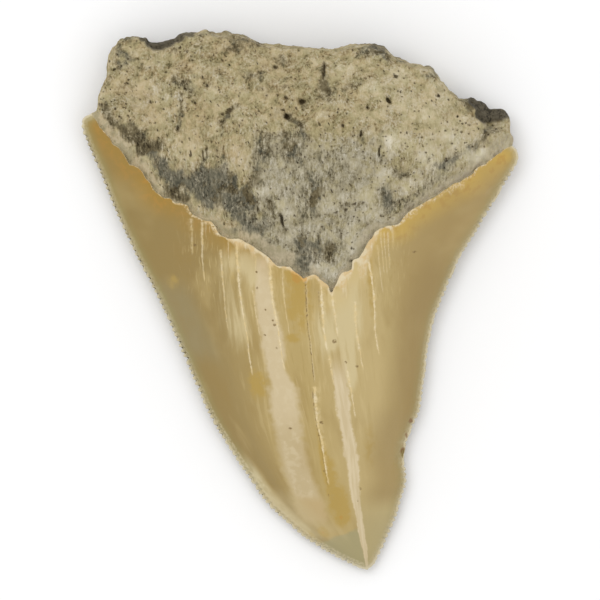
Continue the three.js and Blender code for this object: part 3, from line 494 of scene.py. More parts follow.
# Place and size of each light, in metres
KEY_LIGHT = ((-0.18, 0.22, 0.5), 0.45)
FILL_LIGHT = ((0.3, -0.15, 0.5), 0.5)
# Streaks: least step between the growth lines of two in a layer, and shares of the enamel's height over
# which one starts at its top and bottom
STREAK_GAP = 0.65
STREAK_TOP = (-0.15 / Y_SPAN, 0.2 / Y_SPAN)
STREAK_BOTTOM = (-0.15 / Y_SPAN, 0.5 / Y_SPAN)

# How fine the surface is: rows along a cutting edge, and distances in millimetres of the columns beside it
EDGE_ROWS = 736
RIM_DISTANCES = (0.1, 0.22, 0.38, 0.6, 0.95)
UNDER_DISTANCES = (0.3,)
# At the narrow tip, those columns and the next one stay within these shares of the way across
EDGE_ROOM = 0.3
BORDER_ROOM = 0.36
# Columns beside the edge, the next one after them, rows of the edge to a row, and spacing across
INNER_GRID = (RIM_DISTANCES, 1.35, 4, 0.4)
OUTER_GRID = (UNDER_DISTANCES, 1.0, 8, 0.8)
STEP_DISTANCES = (0.05, 0.11, 0.18, 0.28, 0.42)  # of the rows that step down from the enamel to the root
ROOT_COLUMNS = 340
ROOT_ROWS = 118
WALL_ROWS = 18
UNDER_COLUMNS = 120
UNDER_ROWS = 26

# What the materials know about each vertex, and the parts of the surface
TRAITS = (
    "across", "down", "growth", "rim", "notch", "neck", "lip", "first_band", "second_band", "tip", "dark",
    "grey", "pale", "warm", "strip", "pit", "broken",
)
INNER_ENAMEL, OUTER_ENAMEL, INNER_ROOT, ROOT_SIDE, OUTER_ROOT = range(5)


def smooth_step(low, high, value):
    """3u^2 - 2u^3, where u goes from 0 at low to 1 at high."""
    u = np.clip((value - low) / (high - low), 0, 1)
    return u * u * (3 - 2 * u)


def rounded(points, steps=30):
    """A smooth line: between two points it is the cubic whose slope at each is half the step between that
    point's two neighbours."""
    p = np.array(points, float)
    p = np.vstack([2 * p[0] - p[1], p, 2 * p[-1] - p[-2]])
    u = np.linspace(0, 1, steps, endpoint=False)[:, None]
    a, b, c, d = (p[i:len(p) - 3 + i, None, :] for i in range(4))
    line = b + (c - a) * u / 2 + (a - 2.5 * b + 2 * c - d / 2) * u**2 + (1.5 * (b - c) + (d - a) / 2) * u**3
    return np.vstack([line.reshape(-1, p.shape[1]), p[-2]])


def lengths(line):
    """The length of a line as far as each of its points."""
    return np.concatenate([[0], np.cumsum(np.linalg.norm(np.diff(line, axis=0), axis=1))])


def along(line, share):
    """The point of a line at each share of its length."""
    run = lengths(line)
    return np.stack([np.interp(share * run[-1], run, line[:, k]) for k in (0, 1)], -1)


def profile(points):
    """A smooth function through points that each give a place and its value. Its slope at each point is that
    of the line between the point's two neighbours."""
    at, value = np.array(points, float).T
    low = np.maximum(np.arange(len(at)) - 1, 0)
    high = np.minimum(np.arange(len(at)) + 1, len(at) - 1)
    slope = (value[high] - value[low]) / (at[high] - at[low])

    def smooth(place):
        i = np.clip(np.searchsorted(at, place) - 1, 0, len(at) - 2)
        run = at[i + 1] - at[i]
        rise = value[i + 1] - value[i]
        u = np.clip((place - at[i]) / run, 0, 1)
        bend = u * (1 - u) * ((1 - u) * (slope[i] * run - rise) - u * (slope[i + 1] * run - rise))
        return value[i] + rise * u + bend

    return smooth


def side(edge, guide):
    """X of a side for each Y: its cutting edge, less the two points that round the shoulder, and a guide."""
    return profile([(y, x) for x, y in edge[:1:-1] + guide])


crest_height = profile(CREST_HEIGHTS)
left_height = profile(LEFT_HEIGHTS)
right_height = profile(RIGHT_HEIGHTS)


def hashed(cell, seed):
    """A number from 0 to 1 for each whole-number cell, scrambled by multiplying and folding its bits."""
    primes = np.array([374761393, 668265263, 2147483647][:cell.shape[-1]], np.uint64)
    h = (cell.astype(np.int64).astype(np.uint64) * primes).sum(-1) + np.uint64(seed * 1442695041)
    for _ in range(2):
        h = (h ^ (h >> np.uint64(29))) * np.uint64(0xBF58476D1CE4E5B9)
    return (h >> np.uint64(40)).astype(float) / 2**24


def noise(points, seed=0):
    """Smooth noise from -1 to 1: random values at the corners of the unit cell around a point, mixed along
    each axis by 3u^2 - 2u^3."""
    cell = np.floor(points)
    u = points - cell
    u = u * u * (3 - 2 * u)
    total = 0
    size = points.shape[-1]
    for corner in range(2**size):
        step = np.array([(corner >> axis) & 1 for axis in range(size)])
        weight = np.where(step, u, 1 - u).prod(-1)
        total = total + weight * hashed(cell + step, seed)
    return 2 * total - 1


def fractal(points, octaves=4, seed=0):
    """The sum of noise at 1, 2, 4 ... times the frequency and 1, 1/2, 1/4 ... times the height."""
    return sum(noise(points * 2**k + 17.3 * k, seed + k) / 2**k for k in range(octaves))


def relief(points, size, octaves, seed):
    """Roughness of some height and breadth in millimetres."""
    height, breadth = size
    return height * fractal(points / breadth, octaves, seed)


def pores(points, seed):
    """Distance from each point to the nearest of the dots that lie one to a unit cell, and that dot's own
    random number."""
    cell = np.floor(points)
    best = np.full(points.shape[:-1], UNSET)
    owner = np.zeros_like(best)
    for step in np.ndindex(*(3,) * points.shape[-1]):
        other = cell + np.array(step) - 1
        dot = other + np.stack([hashed(other, seed + k) for k in range(points.shape[-1])], -1)
        gap = np.linalg.norm(points - dot, axis=-1)
        owner = np.where(gap < best, hashed(other, seed + 9), owner)
        best = np.minimum(gap, best)
    return best, owner


def across(x, y):
    """Share of the way across the tooth, from its left side to its right one."""
    return np.clip((x - left_side(y)) / (right_side(y) - left_side(y)), 0, 1)


def inward(share):
    """Share of the way in from the nearer side to the crest."""
    return np.where(share < CREST, share / CREST, (1 - share) / (1 - CREST))


def side_height(share, y):
    """The two sides' heights, mixed by the share of the way across."""
    return (1 - share) * left_height(y) + share * right_height(y)


def lens(share):
    """How far a place rises towards the crest: (1 - (1 - v)^2.2)^1.12, where v is the share of the way in."""
    return (1 - (1 - inward(share))**LENS_POWER)**BLADE_POWER


def inner_height(x, y):
    """The sides' height, plus what the crest has over it times the lens."""
    share = across(x, y)
    low = side_height(share, y)
    return low + (crest_height(y) - low) * lens(share)


def outer_height(x, y):
    """The gap over the table, curled up to the sides as (1 - v)^3 and to the tip as a square root."""
    share = across(x, y)
    from_tip = np.clip((y - LOWEST_Y) / TIP_CURL, 0, 1)
    curl = (1 - (1 - inward(share))**CURL_POWER) * np.sqrt(from_tip)
    low = side_height(share, y)
    return low + (FLAT_GAP - low) * curl


def rested(x, y, z):
    """Heights of the outer face once it is worn flat at the three places that it rests on."""
    for (cx, cy), reach in RESTING_PLACES:
        z = z - REST_DEPTH * np.exp(-((x - cx)**2 + (y - cy)**2) / reach**2)
    return np.maximum(z, 0)


def ellipse(x, y, place):
    """Distance from an ellipse's middle, where 1 is its border."""
    (cx, cy), (rx, ry), turn = place[:3]
    c, s = math.cos(math.radians(turn)), math.sin(math.radians(turn))
    dx, dy = x - cx, y - cy
    return np.hypot((c * dx + s * dy) / rx, (c * dy - s * dx) / ry)


def pieces(x, y, line):
    """For each straight piece of a line: its start, its direction and how far each point is from it."""
    for (ax, ay), (bx, by) in zip(line, line[1:]):
        dx, dy = bx - ax, by - ay
        share = np.clip(((x - ax) * dx + (y - ay) * dy) / (dx * dx + dy * dy), 0, 1)
        yield (ax, ay), (dx, dy), np.hypot(x - ax - share * dx, y - ay - share * dy)


def distance(x, y, line):
    """Distance of each point from the nearest piece of a line."""
    best = np.full(np.shape(x), UNSET)
    for _, _, gap in pieces(x, y, line):
        best = np.minimum(best, gap)
    return best


def stained(x, y, places):
    """How strong the stain is: each place fades as a bell of its ellipse's distance."""
    total = np.zeros_like(x)
    for place in places:
        total = total + place[3] * np.exp(-ellipse(x, y, place)**2 * STAIN_BELL)
    return total


def belted(x, y, belts):
    """How strong the stain of the belts is: each fades as a bell of the distance from its line."""
    total = np.zeros_like(x)
    for reach, strength, line in belts:
        total = total + strength * np.exp(-(distance(x, y, line) / reach)**2 * STAIN_BELL)
    return total


def past_break(x, y):
    """Distance outside the ledge's break, negative on its inner side."""
    best = np.full(np.shape(x), UNSET)
    sign = -np.ones(np.shape(x))
    for (ax, ay), (dx, dy), gap in pieces(x, y, LEDGE_BREAK):
        sign = np.where(gap < best, np.where((y - ay) * dx > (x - ax) * dy, 1, -1), sign)
        best = np.minimum(gap, best)
    return best * sign


def flat(*parts):
    """Points out of their X, Y and perhaps Z."""
    return np.stack(np.broadcast_arrays(*parts), -1)


class Border:
    """A smooth line with small nicks. Noise of 0.8 mm and finer moves its points sideways, less where the
    line is steep, and not at its two ends."""

    def __init__(self, smooth, count, rough, seed):
        self.smooth = smooth
        run = lengths(smooth)[-1]
        self.share = np.linspace(0, 1, count)
        place = along(smooth, self.share)
        ahead = np.gradient(place, axis=0)
        ahead /= np.linalg.norm(ahead, axis=-1, keepdims=True)
        from_end = np.minimum(self.share, 1 - self.share)
        size = rough * (STEEP_NICKS + (1 - STEEP_NICKS) * np.abs(ahead[:, 0]))
        size = size * smooth_step(0, NICK_FADE, run * from_end)
        size = size * fractal(flat(self.share * run * NICK_RATE, 0), 3, seed)
        self.nicks = flat(-ahead[:, 1], ahead[:, 0]) * size[:, None]
        self.line = place + self.nicks
        room = np.minimum(SOFT_SHARE, from_end)
        near = (along(smooth, self.share + k * room) for k in np.linspace(-1, 1, SOFT_COUNT))
        self.soft = sum(near) / SOFT_COUNT

    def nick(self, share):
        """How far the nicks move the smooth line at each share of its length."""
        return self.mixed(self.nicks, share)

    def at(self, share):
        """The line with its nicks."""
        return along(self.smooth, share) + self.nick(share)

    def softened(self, share):
        """The line without its sharp turns."""
        return self.mixed(self.soft, share)

    def mixed(self, values, share):
        """Values between the known ones."""
        return flat(*(np.interp(share, self.share, values[:, k]) for k in (0, 1)))


LEFT = rounded(LEFT_EDGE)
RIGHT = rounded(RIGHT_EDGE)
NECK = Border(rounded(INNER_NECK, 8), count=900, rough=0.17, seed=201)
UNDER_NECK = Border(rounded(OUTER_NECK), count=400, rough=0.14, seed=203)
OUTLINE = Border(rounded(ROOT_OUTLINE, 8), count=800, rough=0.14, seed=205)

left_side = side(LEFT_EDGE, LEFT_GUIDE)
right_side = side(RIGHT_EDGE, RIGHT_GUIDE)


class Skin:
    """A closed surface, woven out of lines of vertices."""

    def __init__(self):
        self.points = []
        self.traits = []
        self.triangles = []
        self.charts = []
        self.count = 0

    def add(self, points, **traits):
        """New vertices, with what the materials need to know about each. Returns their numbers."""
        points = np.asarray(points, float)
        shape = points.shape[:-1]
        row = np.stack([np.broadcast_to(traits.get(name, 0.0), shape).ravel() for name in TRAITS], -1)
        self.points.append(points.reshape(-1, 3))
        self.traits.append(row)
        ids = np.arange(self.count, self.count + row.shape[0]).reshape(shape)
        self.count += row.shape[0]
        return ids

    def join(self, lower, upper, chart):
        """Fills the strip between two lines. Each step of either one makes a triangle, whose third corner is
        where the other line has got to by the middle of that step. From outside, both run left to right and
        the second is above the first."""
        (a_at, a), (b_at, b) = lower, upper
        a_mid = (a_at[1:] + a_at[:-1]) / 2
        b_mid = (b_at[1:] + b_at[:-1]) / 2
        first = np.stack([a[:-1], a[1:], b[np.searchsorted(b_mid, a_mid)]], -1)
        second = np.stack([a[np.searchsorted(a_mid, b_mid, side="right")], b[1:], b[:-1]], -1)
        faces = np.vstack([first, second])
        x, y, z = faces.T
        faces = faces[(x != y) & (y != z) & (z != x)]
        self.triangles.append(faces)
        self.charts.append(np.full(len(faces), chart))


def crown_place(neck, s, t):
    """The mix of the two edges at t by s, moved by the neck's own dip, which fades as (1 - t)^1.5. The neck's
    sharp turns fade within 4 mm and its nicks within 1 mm."""
    s, t = np.broadcast_arrays(s, t)
    ends = (1 - s)[..., None] * LEFT[0] + s[..., None] * RIGHT[0]
    edges = (1 - s)[..., None] * along(LEFT, t) + s[..., None] * along(RIGHT, t)
    soft = neck.softened(s)
    t = t[..., None]
    turns = np.exp(-t / TURN_SHARE) * (along(neck.smooth, s) - soft)
    nicks = np.exp(-t / NICK_SHARE) * neck.nick(s)
    return edges + (1 - t)**DIP_POWER * (soft - ends) + (turns + nicks)


def growth(x, y):
    """The number of the growth line through a point. Between two neighbouring lines it is shared out
    evenly."""
    levels = GROWTH_LEVELS[::-1]
    lines = [profile(list(zip(levels, line[::-1])))(y) for line in GROWTH_LINES]
    lines = [left_side(y)] + lines + [right_side(y)]
    level = GROWTH_LEVELS.index(NUMBER_Y)
    numbers = [left_side(NUMBER_Y)] + [line[level] for line in GROWTH_LINES] + [right_side(NUMBER_Y)]
    total = numbers[0] + 0 * x
    for low, high, first, last in zip(lines, lines[1:], numbers, numbers[1:]):
        total = total + (last - first) * np.clip((x - low) / np.maximum(high - low, 0.02), 0, 1)
    return total


EDGE_SHARES = np.arange(1, EDGE_ROWS) / EDGE_ROWS
ROW_WIDTHS = np.linalg.norm(along(RIGHT, EDGE_SHARES) - along(LEFT, EDGE_SHARES), axis=-1)


def notch_strength(here, from_tip, length, seed):
    """How deep the notches are at each place: not at both ends and on chips, half as deep at the worn place,
    and half as deep again on the left side above y = -10."""
    strength = smooth_step(1, 4, length - from_tip) * smooth_step(0.3, 3, from_tip)
    strength *= 0.8 + 0.3 * noise(flat(from_tip * 1.3, 0), seed)
    for middle, reach, _ in EDGE_CHIPS:
        strength *= smooth_step(0.4, 1.1, np.linalg.norm(here - middle, axis=-1) / reach)
    strength *= 1 - 0.5 * np.exp(-(np.linalg.norm(here - WORN_PLACE, axis=-1) / WORN_REACH)**2)
    return strength * (1 + 0.5 * smooth_step(-20, -10, here[:, 1]) * (here[:, 0] < 0))


class CuttingEdge:
    """One of the crown's two edges, with its serrations. With u counted in serrations from the tip, a notch
    is 1 - |sin(pi u)|^1.2 deep, so that the teeth are a little broader than the notches."""

    def __init__(self, settings, skin, line, height, turn, seed):
        length = lengths(line)[-1]
        from_tip = (1 - EDGE_SHARES) * length
        sway = noise(flat(from_tip * 0.8, 0), seed)
        count = from_tip / (settings.serration_pitch / MM) + PITCH_SWAY * sway
        here = along(line, EDGE_SHARES)
        self.notch = 1 - np.abs(np.sin(np.pi * count))**NOTCH_POWER
        self.notch *= notch_strength(here, from_tip, length, seed + 1)
        self.ahead = np.gradient(here, axis=0)
        self.ahead /= np.linalg.norm(self.ahead, axis=-1, keepdims=True)
        self.into = turn * flat(-self.ahead[:, 1], self.ahead[:, 0])
        nicks = EDGE_NICKS * fractal(flat(from_tip * 2.5, 0), 2, seed + 2)
        self.depth = settings.serration_depth / MM * self.notch + np.maximum(nicks, EDGE_NICK_RISE)
        self.line = here
        self.run = EDGE_SHARES * length
        place = here + self.into * self.depth[:, None]
        z = height(here[:, 1])
        traits = {"rim": 0, "neck": FAR, "lip": FAR, "growth": growth(*here.T), "notch": self.notch}
        self.ids = skin.add(flat(place[:, 0], place[:, 1], z), **traits)

    def beside(self, places):
        """For places beside the edge: the notch and its depth where each is level with it, and how far in it
        is. A place on a slanting row is level with another point of the edge than the row's own."""
        offset = places - self.line
        run = self.run + (offset * self.ahead).sum(-1)
        notch, depth = (np.interp(run, self.run, values) for values in (self.notch, self.depth))
        return notch, depth, (offset * self.into).sum(-1)


def crown_face(skin, cuts, tip, neck, neck_row, height, grid, chart, inner):
    """One face of the crown inside its cutting edges. Beside each edge, columns of vertices follow the
    serrations, which fade inwards as (1 - d)^1.3. Between them, rows go across."""
    distances, border, step, spacing = grid
    neck_at, neck_ids = neck_row
    dent = INNER_NOTCH_DROP if inner else OUTER_NOTCH_RISE

    def join(low, high):
        skin.join(*((low, high) if inner else (high, low)), chart)

    def column(ids, end):
        down = np.concatenate([[-1], -EDGE_SHARES[::-1], [0]])
        return down, np.concatenate([[tip], ids[::-1], [end]])

    def beside(cut, on_left, share):
        place = crown_place(neck, share if on_left else 1 - share, EDGE_SHARES)
        z, traits = height(*place.T)
        traits["notch"], depth, off = cut.beside(place)
        z = z + dent * traits["notch"] * np.exp(-off / NOTCH_REACH)
        place = place + cut.into * (depth * np.maximum(0, 1 - off)**NOTCH_FADE)[:, None]
        return skin.add(flat(place[:, 0], place[:, 1], z), **traits)

    rows = EDGE_SHARES[step - 1::step]
    last = []
    for cut, on_left, ends in zip(cuts, (True, False), (neck_ids, neck_ids[::-1])):
        outer = column(cut.ids, ends[0])
        for k, far in enumerate(distances, 1):
            share = np.minimum(far / ROW_WIDTHS, EDGE_ROOM * k / len(distances))
            nearer = column(beside(cut, on_left, share), ends[k])
            join(*((nearer, outer) if on_left else (outer, nearer)))
            outer = nearer
        last.append(outer)

    widths = ROW_WIDTHS[step - 1::step]
    first = np.minimum(border / widths, BORDER_ROOM)
    counts = np.maximum(1, np.round(widths * (1 - 2 * first) / spacing)).astype(int)
    places = [np.linspace(a, 1 - a, n + 1) for a, n in zip(first, counts)]
    s = np.concatenate(places)
    t = np.repeat(rows, counts + 1)
    x, y = crown_place(neck, s, t).T
    z, traits = height(x, y)
    ids = skin.add(flat(x, y, z), **traits)
    grid_rows = list(zip(places, np.split(ids, np.cumsum(counts + 1)[:-1])))
    for high, low in zip(grid_rows, grid_rows[1:]):
        join(low, high)
    join((np.array([0.5]), np.array([tip])), grid_rows[-1])
    ends = -rows[::-1]
    join((ends, np.array([row[1][0] for row in grid_rows[::-1]])), last[0])
    join(last[1], (ends, np.array([row[1][-1] for row in grid_rows[::-1]])))
    keep = slice(len(distances), len(neck_ids) - len(distances))
    join(grid_rows[0], (neck_at[keep], neck_ids[keep]))


def rim_distance(x, y):
    """Distance from the nearer cutting edge."""
    return np.minimum(distance(x, y, LEFT[::5]), distance(x, y, RIGHT[::5]))


def chipped(x, y):
    """How far the chips of the cutting edge take the inner face down."""
    down = 0 * x
    for (cx, cy), reach, depth in EDGE_CHIPS:
        far = np.hypot(x - cx, y - cy) / reach + 0.2 * noise(flat(x * 1.9, y * 1.9), 5)
        down += depth * np.maximum(0, 1 - far**2)
    return down


def band_place(x, y, band):
    """Where a point is on a band: -1 on its left border, 1 on its right one."""
    left = profile([(row[0], row[1]) for row in band])(y)
    right = profile([(row[0], row[2]) for row in band])(y)
    return np.clip((2 * x - left - right) / (right - left), -9, 9)


def inner_enamel(x, y):
    """Height and traits of the crown's inner face: low ridges along the growth lines, and a border towards
    the root that is rounded off over its last 0.15 mm."""
    rim = rim_distance(x, y)
    neck = distance(x, y, NECK.line[::2])
    number = growth(x, y)
    ridges = RIDGES * fractal(flat(number * 0.9, y * 0.1), 2, 3)
    ridges = ridges + FINE_RIDGES * noise(flat(number * 3.4, y * 0.3), 8)
    swell = relief(flat(x, y), SWELL, 2, 14)
    z = inner_height(x, y) + (ridges + swell) * smooth_step(*RIDGE_START, rim)
    z = z - chipped(x, y) * smooth_step(0, RIDGE_START[0], rim)
    z = z - BORDER_DROP * np.clip(1 - neck / BORDER_WIDTH, 0, 1)**2
    (ax, ay), (bx, by) = TIP_LINE
    tip = ((bx - ax) * (ay - y) + (by - ay) * (x - ax)) / math.hypot(bx - ax, by - ay)
    lip = np.interp(x, *np.array(LIP_WIDTHS).T) * (1 + 0.7 * fractal(flat(x / 0.8, 0), 2, 19))
    traits = {
        "rim": rim, "neck": neck, "growth": number, "lip": neck / np.maximum(lip, 0.03), "tip": tip,
        "first_band": band_place(x, y, FIRST_BAND), "second_band": band_place(x, y, SECOND_BAND),
        "dark": stained(x, y, CHIP_PLACES), "pale": stained(x, y, CREAM_PLACES),
        "warm": stained(x, y, GOLD_PLACES),
    }
    return z, traits


def outer_enamel(x, y):
    """Height and traits of the crown's outer face."""
    rim = rim_distance(x, y)
    number = growth(x, y)
    ridges = OUTER_RIDGES * np.abs(fractal(flat(number * 0.7, y * 0.08), 2, 33))
    z = rested(x, y, outer_height(x, y) + ridges * smooth_step(*RIDGE_START, rim))
    return z, {"rim": rim, "neck": distance(x, y, UNDER_NECK.line[::4]), "growth": number}


def whole(s):
    """Fades what belongs to the root out at its two points: 1, but 12 s and 12 (1 - s) near them."""
    return np.minimum(1, 12 * np.minimum(s, 1 - s))


def foot_height(s):
    """Height of the root's lower rim, which rises to the shoulders as |2s - 1|^6."""
    return FOOT_HEIGHT + (EDGE_HEIGHT - FOOT_HEIGHT) * np.abs(2 * s - 1)**6


def rim_inset(s):
    """How far the root's rims draw in, less towards the shoulders."""
    return RIM_ROUNDING * np.minimum(1, 8 * np.minimum(s, 1 - s))


def rim_shape(s, w):
    """How far a place of the root's side draws in from the outline, as |2w - 1|^2.6, less at its top rim."""
    return rim_inset(s) * (TOP_ROUNDING if w < 0.5 else 1) * abs(2 * w - 1)**2.6


def drawn_in(s, inset):
    """A point of the root's outline, moved towards the enamel's border."""
    place = OUTLINE.at(s)
    towards = NECK.at(s) - place
    far = np.linalg.norm(towards, axis=-1)
    return place + towards / far[..., None] * np.minimum(inset, 0.4 * far)[..., None]


def lumps(x, y):
    """Three crossing waves, the same as in the solid."""
    return LUMP_HEIGHT * (
        np.sin(0.83 * x + 1.7 * np.sin(0.41 * y))
        + np.sin(1.13 * y + 1.3 * np.sin(0.57 * x + 2))
        + 0.6 * np.sin(1.9 * x - 1.4 * y + 1.1 * np.sin(0.9 * y))
    )


def broken_off(x, y):
    """How far the root's broken places lie down, and a mark from 0 to 1 on them. The ledge's mark ends at
    its foot, and higher up to the right of x = 24.5."""
    rough = BREAK_ROUGHNESS * fractal(flat(x * 0.9, y * 0.9), 3, 51)
    outside = past_break(x, y) + rough
    down = LEDGE_DROP * smooth_step(0, LEDGE_SLOPE, outside) * smooth_step(*LEDGE_FOOT, y)
    down -= LEDGE_LUMP[2] * np.exp(-ellipse(x, y, (*LEDGE_LUMP[:2], 0))**2) * smooth_step(0, 0.5, outside)
    foot = LEDGE_FOOT[1] - 0.7 + 0.3 * np.clip(x - 24.5, 0, 3)
    mark = smooth_step(-0.05, 0.3, outside) * smooth_step(foot, foot + 0.7, y + rough)
    for place in RIM_BITES:
        far = ellipse(x, y, (*place[:2], 0)) + 0.7 * rough
        inside = 1 - smooth_step(0.75, 1.05, far)
        down = down + place[2] * inside
        mark = np.maximum(mark, place[3] * inside)
    return down, mark


def root_stains(x, y):
    """The stains of a place of the root. Noise moves their borders."""
    points = flat(x, y)
    x = x + relief(points, STAIN_SWAY, 2, 65)
    y = y + relief(points, STAIN_SWAY, 2, 67)
    return {
        "dark": belted(x, y, DARK_BELTS) + stained(x, y, DARK_PLACES),
        "grey": belted(x, y, GREY_BELTS) + stained(x, y, GREY_PLACES),
        "pale": stained(x, y, PALE_PLACES), "warm": stained(x, y, WARM_PLACES),
    }


def root_traits(x, y, s):
    """What stains, strip and pits a place of the root's inner face has, and how deep its pits are."""
    points = flat(x, y)
    neck = distance(x, y, NECK.line[::2])
    width = np.interp(s, *np.array(STRIP_WIDTHS).T) * (1 + relief(points, STRIP_SWAY, 2, 61))
    strip = 1 - smooth_step(*STRIP_END, neck / width)
    gap, own = pores(points / PORE_SPACING, 41)
    radius = PORE_RADIUS + PORE_GROWTH * own**4
    pore = np.clip(1 - (gap / radius)**2, 0, 1) * (own > PORELESS) * (1 - 0.8 * strip)
    pit = pore
    deep = PORE_DEPTH * pore
    blur = relief(points, PIT_BLUR, 2, 45)
    for place in PITS:
        far = ellipse(x + blur, y - blur, place)
        pit = np.maximum(pit, np.clip(PIT_FADE * (PIT_REACH - far), 0, 1))
        deep = np.maximum(deep, place[3] * np.clip(PIT_FLOOR - PIT_FLOOR * far**2, 0, 1))
    down, mark = broken_off(x, y)
    traits = {"neck": neck, "strip": strip, "pit": pit, "broken": mark, "across": s, **root_stains(x, y)}
    return traits, deep, down


def root_relief(x, y, strip, mark):
    """The root's roughness: broad swells, grit, and fibres that run up and down its lower half."""
    points = flat(x, y)
    swells = relief(points, ROOT_SWELLS, 3, 11)
    grit = relief(points, ROOT_GRIT, 2, 21)
    fibres = ROOT_FIBRES * noise(flat(x * 1.7, y * 0.4), 31) * smooth_step(*FIBRE_START, y)
    return (swells + grit + fibres) * (1 - STRIP_CALM * strip) + mark * relief(points, BROKEN_RELIEF, 3, 71)


def row_between(poles, s, ids):
    """A row of vertices with a pole at each end, and the share of the way across of each."""
    return np.concatenate([[0], s, [1]]), np.concatenate([[poles[0]], ids, [poles[1]]])


def root_inner(skin, s, poles, neck_row):
    """The root's inner face, in straight lines from the enamel's border to the rim: first the step down from
    the enamel, then the lumpy face. Returns its last row and that row's heights."""
    start = NECK.at(s)
    rim = drawn_in(s, rim_shape(s, 0))
    span = np.linalg.norm(rim - start, axis=-1)
    order = np.arange(1, len(STEP_DISTANCES) + 1)[:, None]
    near = np.minimum(np.array(STEP_DISTANCES)[:, None] / span, EDGE_ROOM * order / len(STEP_DISTANCES))
    up = (np.arange(1, ROOT_ROWS + 1) / ROOT_ROWS)[:, None]
    share = np.vstack([near, near[-1] + (1 - near[-1]) * up])
    r = np.vstack([0 * order, up])
    x, y = np.moveaxis(start + (rim - start) * share[..., None], -1, 0)
    gap = share * span
    drop = INNER_STEP * smooth_step(0, STEP_DISTANCES[-2], gap)
    traits, deep, down = root_traits(x, y, np.broadcast_to(s, x.shape))
    settle = smooth_step(0.1, 0.9, gap)
    rough = lumps(x, y) * np.minimum(1, 5 * r) + root_relief(x, y, traits["strip"], traits["broken"]) * settle
    z = inner_height(x, y) - whole(s) * (drop + RIM_FALL * r**6 - rough + (deep + down) * settle)
    z = np.maximum(z, foot_height(s) + whole(s))
    last = neck_row
    for k in range(len(x)):
        ids = skin.add(flat(x[k], y[k], z[k]), **{name: value[k] for name, value in traits.items()})
        row = row_between(poles, s, ids)
        skin.join(last, row, INNER_ROOT)
        last = row
    return last, z[-1]


def root_side(skin, s, poles, rim_row, top):
    """The root's side, from the top rim down to the lower one. It bulges out to the outline at half height,
    as |2w - 1|^2.6, and is rough like a fracture. Returns its last row."""
    last = rim_row
    foot = foot_height(s)
    outward = OUTLINE.at(s) - NECK.at(s)
    outward /= np.linalg.norm(outward, axis=-1, keepdims=True)
    for k in range(1, WALL_ROWS + 1):
        w = k / WALL_ROWS
        place = drawn_in(s, rim_shape(s, w))
        z = top + (foot - top) * w
        rough = fractal(flat(place[:, 0] * 0.7, place[:, 1] * 0.7, z * 0.7), 4, 81)
        push = (SIDE_RELIEF * rough * math.sin(math.pi * w)**0.5 - 0.08) * whole(s)
        place = place + outward * push[:, None]
        lower = smooth_step(0.35, 0.7, w)
        dark = 0.45 + 0.5 * noise(flat(place[:, 0] * 0.3, place[:, 1] * 0.3, z * 0.4), 85)
        mark = 0.35 + 0.6 * noise(flat(place[:, 0] * 0.22, z * 0.5), 87)
        traits = root_stains(*place.T)
        traits["dark"] = (1 - lower) * traits["dark"] + lower * dark
        traits["broken"] = np.maximum(lower * mark, broken_off(*place.T)[1])
        row = row_between(poles, s, skin.add(flat(*place.T, z), neck=FAR, across=s, down=w, **traits))
        skin.join(last, row, ROOT_SIDE)
        last = row
    return last


def root_outer(skin, s, poles, foot_row, neck_row):
    """The root's outer face, from its lower rim to the enamel's border there: hollowed a little, and worn
    flat where it rests."""
    last = foot_row
    start = UNDER_NECK.at(s)
    rim = drawn_in(s, rim_inset(s))
    span = np.linalg.norm(rim - start, axis=-1)
    step_run = 0.35 / np.maximum(span, 1)
    hollow = UNDER_HOLLOW * lens(s)
    for r in np.append(np.arange(UNDER_ROWS - 1, 0, -1) / UNDER_ROWS, 0):
        share = step_run + (1 - step_run) * r
        x, y = (start + (rim - start) * share[:, None]).T
        z = outer_height(x, y) + OUTER_STEP * whole(s)
        z = z + (foot_height(s) - z) * r * r + hollow * 4 * r * (1 - r)
        z = z + relief(flat(x, y), UNDER_RELIEF, 3, 91) * whole(s) * min(1, 5 * r, 5 * (1 - r))
        z = rested(x, y, z)
        dark = 0.3 + 0.6 * noise(flat(x / 4, y / 5), 93)
        ids = skin.add(flat(x, y, z), neck=FAR, across=s, down=1, dark=dark, warm=0.3)
        row = row_between(poles, s, ids)
        skin.join(last, row, OUTER_ROOT)
        last = row
    skin.join(last, neck_row, OUTER_ROOT)


